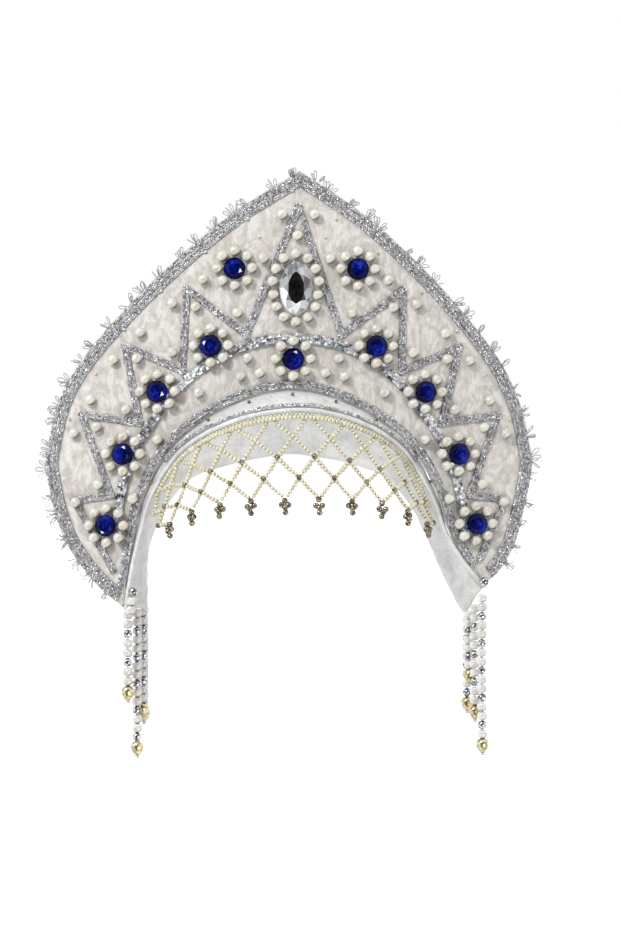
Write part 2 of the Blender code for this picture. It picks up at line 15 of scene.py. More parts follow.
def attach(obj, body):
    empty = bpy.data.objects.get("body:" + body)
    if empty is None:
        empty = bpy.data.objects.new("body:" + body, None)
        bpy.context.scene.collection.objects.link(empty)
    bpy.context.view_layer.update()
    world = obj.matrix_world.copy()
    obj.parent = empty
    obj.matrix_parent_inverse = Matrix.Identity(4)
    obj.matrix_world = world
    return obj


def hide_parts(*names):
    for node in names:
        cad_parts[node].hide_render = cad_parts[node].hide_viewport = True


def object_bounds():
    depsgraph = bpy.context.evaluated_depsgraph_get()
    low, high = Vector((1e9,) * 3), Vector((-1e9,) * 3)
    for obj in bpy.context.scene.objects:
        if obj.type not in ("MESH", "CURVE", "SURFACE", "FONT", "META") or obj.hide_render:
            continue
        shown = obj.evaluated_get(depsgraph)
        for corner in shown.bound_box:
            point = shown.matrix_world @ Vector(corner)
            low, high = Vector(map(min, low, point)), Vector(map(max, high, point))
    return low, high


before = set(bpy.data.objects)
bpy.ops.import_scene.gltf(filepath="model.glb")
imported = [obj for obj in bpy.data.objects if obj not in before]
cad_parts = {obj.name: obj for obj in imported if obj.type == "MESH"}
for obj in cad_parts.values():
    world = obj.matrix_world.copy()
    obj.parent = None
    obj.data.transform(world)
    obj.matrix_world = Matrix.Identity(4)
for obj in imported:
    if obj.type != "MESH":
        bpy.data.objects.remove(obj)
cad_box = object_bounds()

MM = 0.001

# Crest, as in the part's source
CREST_HALF_WIDTH = 0.1327
CREST_RISE = 0.1167
CREST_DROP = 0.1116
CREST_THICKNESS = 0.003
TIP_LEAN_START = 0.55
TIP_LEAN_ACROSS = 0.0078
TIP_LEAN_UP = 0.006
TOP_LEAN = 0.0042
BEND_RADIUS = 0.42
SEAT_GAP = 0.0003
EDGE_BRAID_WIDTH = 0.007
EDGE_TIP_SPACE = EDGE_BRAID_WIDTH * 0.85
INNER_BRAID_WIDTH = 0.0045
ARC_WIDTH = 0.005
ZIGZAG_WIDTH = 0.004
BAND_BRAID_WIDTH = 0.005
ARC_THICKNESS = 0.0016
BRAID_THICKNESS = 0.0011
ZIGZAG_THICKNESS = 0.0006
BRAID_MARGIN = 0.0002
PEARL_RADIUS = 0.003
STONE_RADIUS = 0.006
STONE_HEIGHT = 0.004
PEARL_RING_RADIUS = 0.0093
PEARLS_A_RING = 8
DROP_HALF_WIDTH = 0.0091
DROP_HALF_HEIGHT = 0.0146
DROP_HEIGHT = 0.0055
DROP_RING_GAP = 0.0006
DROP_RING_PEARLS = 14
SINK = 0.0002

# Head band, as in the part's source
BAND_THICKNESS = 0.002
BAND_REAR_REACH = 0.055
BAND_REAR_INSET = 0.033
BAND_FRONT_REACH = 0.035
BAND_FRONT_INSET = 0.0115
BAND_LIP = 0.0015
BAND_FOOT = 0.0012
BAND_REAR_DROP = 0.0038
BROW_RADIUS = 0.087
BAND_BOW_TOP = 0.36
BAND_BOW_FOOT = 0.95
SEAT_RISE = SEAT_GAP + BAND_THICKNESS

# Forehead net and strings of beads, as in the part's source
NET_COLUMNS = 10
NET_ROWS = 4
NET_WIRE = 0.0018
NET_HEIGHT = 0.0435
NET_END_DROP = 0.0185
NET_SPREAD = math.radians(60.0)
NET_ARCH_SHARE = 0.66
NET_FOOT_SHARE = 1.01
NET_SWAY = 0.004
STRAND_RADIUS = 0.00275

# Finer steps than the source's
LINE_STEPS = 10
RING_STEPS = 240
CLOTH_STEP = 1.9 * MM
BRAID_PITCH = 1.0 * MM
STRIP_STEPS = 6
REAR_STEPS = 16

# Satin over the board: it swells between seams and is pulled down at each pearl
SEAM_HALF_WIDTH = 2.5 * MM
SWELL = 0.7 * MM
SWELL_RUN = 3.0 * MM
DIMPLE = 0.45 * MM
DIMPLE_RUN = 1.5 * MM
RIPPLE = 0.16 * MM
RIPPLES_A_METRE = 140.0

# Lining on the crest's back, and its stitches
LINING_INSET = 3.2 * MM
LINING_STEP = 3.2 * MM
LINING_EDGE_SPACE = 6.0 * MM
LINING_ARCH_SPACE = 9.0 * MM
LINING_SWELL = 0.45 * MM
LINING_RIPPLE = 0.2 * MM
LINING_BITE = 0.3 * MM
STITCH_PITCH = 4.5 * MM
STITCH_SLANT = 1.1

# Ridges of each braid on the crest, and how far each zigzag leg runs past its corner, in widths
BRAID_RIDGES = {"edge_braid": 3, "inner_braid": 2, "zigzag_braid": 2}
LEG_OVERRUN = 0.3
BAND_BRAID_RIDGES = 2
ZIGZAG_FOOT_SHARE = 0.56

# How the grains of a braid lie: slant and its spread, shift, tilt, and shares of lane and height
GRAIN_SLANT = 0.62
GRAIN_SLANT_SPREAD = 0.16
GRAIN_SHIFT = 0.10 * MM
GRAIN_TILT = 0.45
GRAIN_LANE_SHARE = 0.46
GRAIN_HEIGHT_SHARE = 0.78

# Grains of metal thread and stitches: length, width and height in millimetres
GRAINS = {"crest": (1.55, 0.8, 0.7), "band": (1.5, 0.75, 0.65), "stitch": (3.0, 0.45, 0.5)}

# Turned beads: radius, half length and hole in millimetres, sides, rows, and how blunt
BEADS = {
    "sequin": (0.5, 0.4, 0.15, 6, 4, 1.0),
    "tiny": (1.1, 0.9, 0.3, 8, 6, 1.0),
    "net": (1.4, 1.15, 0.3, 10, 6, 1.0),
    "crossing": (1.5, 1.3, 0.3, 8, 6, 1.0),
    "drop": (1.7, 1.6, 0.35, 12, 8, 1.0),
    "silver": (2.5, 2.4, 0.5, 14, 9, 0.8),
    "stop": (1.5, 1.0, 0.3, 10, 6, 1.0),
}
GOLD_BEAD_SIDES = 20

# The gold bead at the end of a string: place along its axis and radius, in millimetres
GOLD_BEAD = (
    (-3.7, 0.9),
    (-3.4, 2.1),
    (-2.6, 3.0),
    (-1.4, 3.45),
    (0.0, 3.5),
    (1.4, 3.2),
    (2.6, 2.6),
    (3.5, 1.95),
    (4.1, 1.2),
    (4.3, 0.6),
)

# The five beads of a drop under the net: sideways, down and forward in millimetres
NET_DROP = (
    (0.0, 1.2, 0.0),
    (-1.75, 3.7, 0.1),
    (1.75, 3.7, 0.1),
    (0.0, 5.0, 1.0),
    (0.0, 7.3, 0.0),
)

# Pitches of threaded beads, and what the end of a string takes
NET_EDGE_PITCH = 2.1 * MM
NET_PITCH = 2.2 * MM
STRING_PITCH = 4.9 * MM
STRING_END = 3.6 * MM
STOP_DROP = 4.9 * MM
STRAND_PEARL_HALF_LENGTH = 2.45 * MM
STRAND_PEARL_HOLE = 0.5 * MM

# Sequins on their arc: pitch, radius, depth, and lanes of sequins and of beads in millimetres
SEQUIN_PITCH = 1.25 * MM
SEQUIN_RADIUS = 1.05 * MM
SEQUIN_DEPTH = 0.12 * MM
SEQUIN_LANES = (-1.55, 0.0, 1.55)
SEQUIN_BEAD_LANES = (-0.8, 0.8)

# Sections of the silver cups: outward and up in millimetres
STONE_CUP = ((-0.35, 0.0), (0.0, 0.0), (0.05, 1.1), (-0.30, 1.15))
DROP_CUP = ((-0.4, 0.0), (0.0, 0.0), (0.05, 2.5), (-0.35, 2.6))

# Rings of a cut stone from its table down: phase, shares of the half width, half height and
# height, and corners for each side of the table
STONE_RINGS = (
    (0.5, 0.27, 0.33, 1.0, 1),
    (0.0, 0.52, 0.62, 1.0, 1),
    (0.5, 0.76, 0.80, 0.82, 1),
    (0.0, 1.0, 1.0, 0.5, 2),
    (0.0, 1.0, 1.0, 0.42, 2),
    (0.0, 0.8, 0.8, 0.1, 2),
)
STONE_CUT_RADIUS = 5.95 * MM
STONE_CUP_RADIUS = 5.5 * MM
STONE_SIDES = 8
DROP_SIDES = 10
DROP_NARROWING = 0.35

# Thread loops round the edge, in millimetres and radians
PICOT_PITCH = 12.5 * MM
PICOT_STEPS = 18
PICOT_BUNCH = 1.6
PICOT_LENGTHS = (3.2, 6.2)
PICOT_FAN = 0.8
PICOT_WIDTH = 0.24
PICOT_THREAD = 0.27 * MM
PICOT_RISE = 0.3
PICOT_TWIST = 0.75
PICOT_SPREAD = 2.4
PICOT_ROOT = 0.25

# Folds of the band's cloth: heights in millimetres, calmer on the front strip and at the top
FOLD_HEIGHT = 1.2
FINE_FOLD_HEIGHT = 0.6
STRIP_CALM = 0.35
TOP_CALM = 0.2
HEM_RADIUS = 1.18 * MM

# What each part's random draws start from
SEEDS = {
    "edge_braid": 2,
    "inner_braid": 3,
    "zigzag_braid": 5,
    "pearls": 7,
    "sequins": 17,
    "picots": 23,
    "lining": 31,
    "band_braid": 41,
    "net": 53,
    "strings": 67,
    "tiny_beads": 71,
    "drop": 99,
}
FIRST_STONE_SEED = 100

# Colours over a face's tint: place in the ramp, and colour
# The silver's ramp: partly the threads' own uneven tone, partly painted glints up to white and dark
# painted reflections
SILVER_STOPS = (
    (0.0, (0.10, 0.10, 0.105)),
    (0.25, (0.36, 0.36, 0.37)),
    (0.55, (0.66, 0.66, 0.675)),
    (0.8, (0.92, 0.92, 0.935)),
    (1.0, (1.0, 1.0, 1.0)),
)
# The sequins' ramp: dark painted reflections, painted glints up to white, and painted teal and pink
# sheen
SEQUIN_STOPS = (
    (0.0, (0.06, 0.06, 0.07)),
    (0.22, (0.26, 0.26, 0.28)),
    (0.40, (0.55, 0.56, 0.60)),
    (0.50, (0.74, 0.75, 0.78)),
    (0.535, (0.30, 0.48, 0.46)),
    (0.57, (0.68, 0.58, 0.64)),
    (0.62, (0.78, 0.79, 0.82)),
    (1.0, (1.0, 1.0, 1.0)),
)
# The blue stones' ramp: from dark painted reflection to a painted white flash, over the glass's own
# blue
BLUE_STOPS = (
    (0.0, (0.0006, 0.0008, 0.012)),
    (0.4, (0.001, 0.002, 0.055)),
    (0.7, (0.003, 0.009, 0.21)),
    (0.9, (0.012, 0.035, 0.46)),
    (1.0, (0.85, 0.9, 1.0)),
)
# The clear drop's ramp: all of it painted reflection, from dark to a painted white flash
CLEAR_STOPS = (
    (0.0, (0.004, 0.004, 0.003)),
    (0.25, (0.04, 0.036, 0.034)),
    (0.5, (0.24, 0.24, 0.26)),
    (0.75, (0.55, 0.56, 0.60)),
    (1.0, (1.0, 1.0, 1.0)),
)
GLASSES = (
    ("blue", "blue_glass", 500.0, BLUE_STOPS),
    ("crystal", "clear_glass", 400.0, CLEAR_STOPS),
)

# Sockets of a colour mix, by number because several of them share a name
MIX_A = 6
MIX_B = 7
MIX_RESULT = 2

# Camera: distance, the height it sees at that distance, its way round, and what it looks at
CAMERA_DISTANCE = 1.1
CAMERA_VIEW_HEIGHT = 0.501
CAMERA_SENSOR = 36.0
CAMERA_AZIMUTH = math.radians(-3.0)
CAMERA_TARGET = (0.0101, 0.0, -0.0389)

# Lamps: name, place, size in metres and power in watts
LAMPS = (
    ("key", (-0.8, -1.05, 0.9), 0.34, 12.0),
    ("fill", (0.5, -1.2, -0.5), 0.9, 6.5),
    ("back", (0.3, 1.2, 0.9), 1.0, 1.5),
)
LAMP_TARGET = (0.0, 0.0, -0.04)

FLOOR_DROP = 0.06
FLOOR_REACH = 60.0
FLOOR_GLOW = 0.7

# The tent's strength over the depth of the way looked: from and to, then dark and light
TENT = (-0.95, -0.45, 0.1, 1.15)

# The way that the beads' painted shade faces: their colour is darkened on the side that faces down, to
# the right and a little back
PAINTED_SHADE_WAY = (0.55, 0.35, -0.75)

# The first beads of two strings, sewn to the hem of the band's feet: side, rank of the string,
# share of the way sideways from the hem, and heights over the string's top in millimetres, the
# highest one silver
FOOT_BEADS = ((-1, 1, 0.77, (10.1, 5.2, 0.4)), (1, 4, 0.56, (7.0,)))
FOOT_BEAD_REACH = 3.7 * MM
LIP_STATIONS = 30
STATION_EASE = 0.07

# Lines and places on the crest: share of the half width, share of its rise or its drop
OUTER_EDGE = (
    (0.0, 1.0),
    (0.233, 0.832),
    (0.415, 0.668),
    (0.632, 0.434),
    (0.839, 0.166),
    (0.943, -0.043),
    (0.989, -0.251),
    (1.0, -0.403),
    (0.934, -0.713),
    (0.835, -0.901),
    (0.740, -1.0),
)
INNER_EDGE = (
    (0.0, 0.0),
    (0.182, -0.043),
    (0.361, -0.150),
    (0.503, -0.299),
    (0.598, -0.506),
    (0.638, -0.675),
    (0.686, -0.851),
    (0.740, -1.0),
)
ARC_LINE = (
    (0.0, 0.233),
    (0.215, 0.189),
    (0.405, 0.060),
    (0.540, -0.116),
    (0.641, -0.323),
    (0.690, -0.506),
    (0.712, -0.700),
)

# The same, and whether the corner stands on the sequin arc
ZIGZAG_CORNERS = (
    (0.0, 0.835, False),
    (0.192, 0.246, True),
    (0.439, 0.459, False),
    (0.443, 0.080, True),
    (0.682, 0.198, False),
    (0.615, -0.165, True),
    (0.854, -0.123, False),
    (0.730, -0.515, True),
    (0.884, -0.538, False),
    (0.750, -0.851, False),
)
STONES = (
    (0.0, 0.136),
    (0.249, 0.551),
    (0.335, 0.196),
    (0.543, -0.014),
    (0.683, -0.314),
    (0.754, -0.656),
)
DROP_PLACE = (0.0, 0.461)
SINGLE_PEARLS = (
    (0.0, 0.701),
    (0.065, 0.798),
    (0.134, 0.596),
    (0.375, 0.500),
    (0.495, 0.391),
    (0.404, 0.374),
    (0.231, 0.346),
    (0.622, 0.258),
    (0.488, 0.166),
    (0.631, 0.138),
    (0.727, 0.134),
    (0.817, -0.053),
    (0.669, -0.101),
    (0.794, -0.185),
    (0.885, -0.214),
    (0.185, 0.138),
    (0.210, 0.056),
    (0.133, 0.071),
    (0.376, -0.020),
    (0.541, -0.248),
    (0.784, -0.462),
    (0.878, -0.549),
    (0.644, -0.532),
)

# Share of the half arch, then shares of the front inset, the rear reach and the rear inset
BAND_STATIONS = (
    (0.0, 1.0, 1.0, 1.0),
    (0.2, 0.72, 1.0, 0.92),
    (0.35, 0.42, 1.0, 0.72),
    (0.5, 0.30, 0.98, 0.48),
    (0.65, 0.22, 0.93, 0.28),
    (0.8, 0.06, 0.80, 0.14),
    (0.92, 0.0, 0.60, 0.23),
    (1.0, 0.0, 0.38, 0.29),
)

# String, side, share of the way along the foot, and length in metres
STRANDS = (
    (1, -1, 0.06, 0.0445),
    (2, -1, 0.37, 0.0755),
    (3, -1, 0.65, 0.0555),
    (4, -1, 0.96, 0.060),
    (5, 1, 0.06, 0.083),
    (6, 1, 0.37, 0.0595),
    (7, 1, 0.65, 0.036),
    (8, 1, 0.96, 0.049),
)

# Tiny beads of the right half in millimetres: beside the edge braid, and under the inner braid
EDGE_SEEDS = (
    (0.0, 106.3),
    (23.7, 91.0),
    (46.2, 73.3),
    (70.0, 52.6),
    (90.0, 32.0),
    (105.5, 8.5),
    (120.0, -16.0),
    (126.2, -45.6),
    (119.7, -72.3),
)
GOLD_SEEDS = ((17.6, 81.4),)
STRIP_SEEDS = ((0.0, -3.0), (23.4, -6.7), (46.0, -16.4), (66.5, -34.4), (76.0, -54.6))


def place(row):
    height = CREST_RISE if row[1] >= 0.0 else CREST_DROP
    return Vector((row[0] * CREST_HALF_WIDTH, row[1] * height))


def smooth_line(rows, pointed=False):
    """A Catmull-Rom curve through the rows' places: the right half of a line."""
    points = [place(row) for row in rows]
    before = points[0] * 2 - points[1] if pointed else Vector((-points[1].x, points[1].y))
    ends = [before] + points + [points[-1] * 2 - points[-2]]
    line = []
    for a, b, c, d in zip(ends, ends[1:], ends[2:], ends[3:]):
        for step in range(LINE_STEPS):
            t = step / LINE_STEPS
            spread = (c - a) * t + (a * 2 - b * 5 + c * 4 - d) * t * t
            line.append((b * 2 + spread + (b * 3 - a - c * 3 + d) * t**3) / 2)
    return line + [points[-1]]


def leaned(point):
    """The crest leans to the right: its top, and the lower tips, the left lower than the right."""
    start = TIP_LEAN_START * CREST_DROP
    share = max(-point.y - start, 0.0) / (CREST_DROP - start)
    rise = math.copysign(TIP_LEAN_UP, point.x)
    top = Vector((TOP_LEAN, 0.0)) * max(point.y, 0.0) / CREST_RISE
    return point + Vector((TIP_LEAN_ACROSS, rise)) * share**2 + top


def mirrored(half):
    return [leaned(Vector((-p.x, p.y))) for p in reversed(half[1:])] + [leaned(p) for p in half]


def corner_shift(before, at, after):
    """The mitred sideways shift at a point for a unit offset to the left of the line."""
    first = (at - before).normalized() if before is not None else None
    second = (after - at).normalized() if after is not None else None
    first = first or second
    second = second or first
    a = Vector((-first.y, first.x))
    b = Vector((-second.y, second.x))
    return (a + b) / (1.0 + a.dot(b))


def offset_line(line, distance):
    moved = []
    for i, point in enumerate(line):
        before = line[i - 1] if i else None
        after = line[i + 1] if i + 1 < len(line) else None
        moved.append(point + corner_shift(before, point, after) * distance)
    return moved


def lengths_along(line):
    total = [0.0]
    for a, b in zip(line, line[1:]):
        total.append(total[-1] + (b - a).length)
    return total


def point_at(line, distance):
    total = lengths_along(line)
    for i in range(len(line) - 1):
        if distance <= total[i + 1] or i == len(line) - 2:
            share = (distance - total[i]) / (total[i + 1] - total[i])
            return line[i].lerp(line[i + 1], min(max(share, 0.0), 1.0))


def trimmed(line, distance):
    total = lengths_along(line)
    inside = [p for p, at in zip(line, total) if distance < at < total[-1] - distance]
    return [point_at(line, distance)] + inside + [point_at(line, total[-1] - distance)]


def nearest_on(line, point):
    best = None
    for a, b in zip(line, line[1:]):
        along = b - a
        share = min(max((point - a).dot(along) / along.length_squared, 0.0), 1.0)
        spot = a + along * share
        if best is None or (point - spot).length < best[1]:
            best = (spot, (point - spot).length)
    return best


def both_sides(rows):
    for row in rows:
        spot = place(row)
        yield leaned(spot)
        if row[0] > 0.0:
            yield leaned(Vector((-spot.x, spot.y)))


def ring_points(centre, half_width, half_height, count):
    round_it = [
        centre + Vector((half_width * math.sin(a), half_height * math.cos(a)))
        for a in (2 * math.pi * k / RING_STEPS for k in range(RING_STEPS + 1))
    ]
    length = lengths_along(round_it)[-1]
    return [point_at(round_it, length * k / count) for k in range(count)]


def pearl_places():
    spots = list(both_sides(SINGLE_PEARLS))
    for centre in both_sides(STONES):
        spots += ring_points(centre, PEARL_RING_RADIUS, PEARL_RING_RADIUS, PEARLS_A_RING)
    around = PEARL_RADIUS + DROP_RING_GAP
    spots += ring_points(
        leaned(place(DROP_PLACE)), DROP_HALF_WIDTH + around, DROP_HALF_HEIGHT + around, DROP_RING_PEARLS
    )
    return spots


def braid_lines():
    """Each braid of the crest: its middle line, width and thickness, the highest first."""
    outer = mirrored(smooth_line(OUTER_EDGE, pointed=True))
    inner = mirrored(smooth_line(INNER_EDGE))
    arc = mirrored(smooth_line(ARC_LINE))
    edge = offset_line(outer, -(EDGE_BRAID_WIDTH / 2 + BRAID_MARGIN))
    rim = offset_line(inner, INNER_BRAID_WIDTH / 2 + BRAID_MARGIN)
    foot_distance = ARC_WIDTH / 2 + 2 * SEAT_GAP + ZIGZAG_WIDTH * ZIGZAG_FOOT_SHARE
    half = []
    for row in ZIGZAG_CORNERS:
        corner = place(row)
        if row[2]:
            spot, distance = nearest_on(arc, corner)
            corner = spot + (corner - spot) * (foot_distance / distance)
        half.append(corner)
    tip_space = EDGE_BRAID_WIDTH + INNER_BRAID_WIDTH
    return {
        "sequin_arc": (arc, ARC_WIDTH, ARC_THICKNESS),
        "edge_braid": (trimmed(edge, EDGE_TIP_SPACE), EDGE_BRAID_WIDTH, BRAID_THICKNESS),
        "inner_braid": (trimmed(rim, tip_space), INNER_BRAID_WIDTH, BRAID_THICKNESS),
        "zigzag_braid": (mirrored(half), ZIGZAG_WIDTH, ZIGZAG_THICKNESS),
    }


def settled(point, radius, braids):
    """Where a round piece stands, and the lift of what it stands on."""
    for line, width, thickness in braids.values():
        spot, distance = nearest_on(line, point)
        reach = width / 2 + radius
        if distance < reach - 2 * SINK:
            return point, SEAT_GAP + thickness
        if distance < reach + SEAT_GAP:
            point = point + (point - spot) * ((reach + SEAT_GAP) / distance - 1.0)
    return point, 0.0


def rest_lift(point, radius, braids):
    lift = 0.0
    for line, width, thickness in braids.values():
        if nearest_on(line, point)[1] < width / 2 + radius + SEAT_GAP:
            lift = max(lift, SEAT_GAP + thickness)
    return lift + SEAT_GAP


def sag(u):
    """How far back the bent crest lies at u."""
    return BEND_RADIUS - np.sqrt(BEND_RADIUS**2 - np.square(u))


def bent(u, w, lift):
    """Points of the bent crest from arrays of u, w and lift."""
    u, w, lift = np.broadcast_arrays(u, w, lift)
    return np.stack([u, sag(u) - CREST_THICKNESS - lift, w + SEAT_RISE], axis=-1)


def crest_out(u):
    """The way straight out of the crest's front at u."""
    u = np.asarray(u, dtype=float)
    slope = u / np.sqrt(BEND_RADIUS**2 - np.square(u))
    return unit(np.stack([slope, -np.ones_like(u), np.zeros_like(u)], axis=-1))


def unit(rows):
    return rows / np.linalg.norm(rows, axis=-1, keepdims=True)


def axes(along, out):
    """Turns, as matrices, that take X along one way and Z nearest to another."""
    x = unit(along)
    y = unit(np.cross(out, x))
    return np.stack([x, y, np.cross(x, y)], axis=-1)


def resample(line, count, values=None):
    """A line's points at an even spacing, or the values that belong to its points."""
    points = np.array([tuple(p) for p in line])
    rows = points if values is None else np.array([tuple(v) for v in values])
    steps = np.linalg.norm(np.diff(points, axis=0), axis=1)
    total = np.concatenate([[0.0], np.cumsum(steps)])
    at = np.linspace(0.0, total[-1], count)
    return np.stack([np.interp(at, total, column) for column in rows.T], axis=1)


def line_length(line):
    return lengths_along(line)[-1]


def crest_axes(u):
    """Sideways, up and out on the crest's front at u."""
    out = crest_out(u)
    side = unit(np.cross(np.array([0.0, 0.0, 1.0]), out))
    return side, np.cross(out, side), out


def random_for(name):
    return np.random.default_rng(SEEDS[name])


class Gather:
    """Points, faces and a tint for each face, gathered for one object."""

    def __init__(self):
        self.points = []
        self.faces = []
        self.tints = []
        self.count = 0

    def add(self, points, faces, tint=0.5):
        """Adds points and groups of faces; the faces of a group have the same number of corners."""
        points = np.asarray(points, dtype=float).reshape(-1, 3)
        for group in faces:
            group = np.asarray(group, dtype=np.int64)
            self.faces.append(group + self.count)
            self.tints.append(np.broadcast_to(tint, len(group)))
        self.points.append(points)
        self.count += len(points)

    def stamp(self, template, places, turns, scales, tints):
        """Adds a copy of a template at each place, with its own turn, scale and tint."""
        points, faces = template
        number = len(places)
        scales = np.broadcast_to(np.asarray(scales, dtype=float).reshape(-1, 1), (number, 3))
        sized = points[None] * scales[:, None, :]
        moved = np.einsum("nij,npj->npi", turns, sized) + places[:, None, :]
        shift = (np.arange(number) * len(points))[:, None, None]
        tints = np.broadcast_to(tints, number)
        for group in faces:
            self.faces.append((group[None] + shift).reshape(-1, group.shape[1]) + self.count)
            self.tints.append(np.repeat(tints, len(group)))
        self.points.append(moved.reshape(-1, 3))
        self.count += number * len(points)

    def make(self, name, look, replaced=(), smooth=True):
        """The gathered object: a piece of the headdress in its look."""
        mesh = bpy.data.meshes.new(name)
        points = np.concatenate(self.points)
        corners = np.concatenate([group.ravel() for group in self.faces])
        sizes = np.concatenate([np.full(len(group), group.shape[1]) for group in self.faces])
        starts = np.concatenate([[0], np.cumsum(sizes)[:-1]])
        mesh.vertices.add(len(points))
        mesh.vertices.foreach_set("co", points.ravel())
        mesh.loops.add(len(corners))
        mesh.loops.foreach_set("vertex_index", corners.astype(np.int32))
        mesh.polygons.add(len(sizes))
        mesh.polygons.foreach_set("loop_start", starts.astype(np.int32))
        mesh.polygons.foreach_set("use_smooth", np.full(len(sizes), smooth))
        mesh.update(calc_edges=True)
        tint = mesh.attributes.new("tint", "FLOAT", "FACE")
        tint.data.foreach_set("value", np.concatenate(self.tints).astype(np.float32))
        mesh.materials.append(look)
        made = bpy.data.objects.new(name, mesh)
        bpy.context.scene.collection.objects.link(made)
        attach(made, "root")
        if replaced:
            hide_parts(*replaced)


def ring_faces(rings, around, closed):
    """The four-cornered faces of rings of points, one after the other."""
    i = np.arange(rings if closed else rings - 1)[:, None]
    k = np.arange(around)[None, :]
    low = (i % rings) * around
    high = ((i + 1) % rings) * around
    n = (k + 1) % around
    return np.stack([low + k, low + n, high + n, high + k], axis=-1).reshape(-1, 4)


def sweep(gather, centres, across, out, profile, closed=False, tint=0.5):
    """A closed profile carried along a path, with its ends filled."""
    profile = np.asarray(profile, dtype=float)
    points = (
        centres[:, None, :]
        + across[:, None, :] * profile[None, :, :1]
        + out[:, None, :] * profile[None, :, 1:]
    )
    rings, around = len(centres), len(profile)
    faces = [ring_faces(rings, around, closed)]
    if not closed:
        cap = np.arange(around)
        faces.append(np.stack([cap[::-1], cap + (rings - 1) * around]))
    gather.add(points, faces, tint)


def circle(radius, sides):
    angles = np.arange(sides) * 2 * math.pi / sides
    return np.stack([np.cos(angles), np.sin(angles)], axis=1) * radius


def bead(radius, half_length, hole, sides, rows, blunt=1.0):
    """A bead turned about X, with a hole for its thread; under 1 its ends are blunt."""
    start = math.asin(hole / radius)
    profile = []
    for a in np.linspace(start, math.pi - start, rows):
        along = math.copysign(abs(math.cos(a)) ** blunt, math.cos(a))
        profile.append((-half_length * along, radius * math.sin(a)))
    profile.append((half_length * 0.6, hole * 0.7))
    profile.append((-half_length * 0.6, hole * 0.7))
    points = []
    for x, r in profile:
        ring = circle(r, sides)
        points.append(np.column_stack([np.full(sides, x), ring]))
    return np.concatenate(points), [ring_faces(len(profile), sides, True)[:, ::-1]]


def bead_of(kind):
    radius, half_length, hole, sides, rows, blunt = BEADS[kind]
    return bead(radius * MM, half_length * MM, hole * MM, sides, rows, blunt)


def turned_bead(profile, sides):
    """A solid turned about X from rows of place along the axis and radius, closed at both ends."""
    points = [np.column_stack([np.full(sides, x), circle(r, sides)]) for x, r in profile]
    cap = np.arange(sides)
    last = (len(profile) - 1) * sides
    faces = [ring_faces(len(profile), sides, False)[:, ::-1], np.stack([cap, last + cap[::-1]])]
    return np.concatenate(points), faces


def grain(kind):
    """A long eight-sided grain of metal thread."""
    length, width, height = (size * MM for size in GRAINS[kind])
    points = np.array(
        [
            (-length / 2, 0, 0),
            (length / 2, 0, 0),
            (0, -width / 2, 0),
            (0, width / 2, 0),
            (0, 0, -height / 2),
            (0, 0, height / 2),
        ]
    )
    faces = []
    for end, turn in ((0, 1), (1, -1)):
        for a, b in ((2, 4), (4, 3), (3, 5), (5, 2)):
            faces.append((end, b, a)[::turn])
    return points, [np.array(faces)]


def sequin_shape(radius, depth, sides):
    """A small cupped disc."""
    rim = np.column_stack([circle(radius, sides), np.zeros(sides)])
    points = np.concatenate([rim, [(0, 0, -depth)], [(0, 0, -depth * 2)]])
    k = np.arange(sides)
    n = (k + 1) % sides
    upper = np.stack([k, n, np.full(sides, sides)], axis=1)
    lower = np.stack([n, k, np.full(sides, sides + 1)], axis=1)
    return points, [upper, lower]


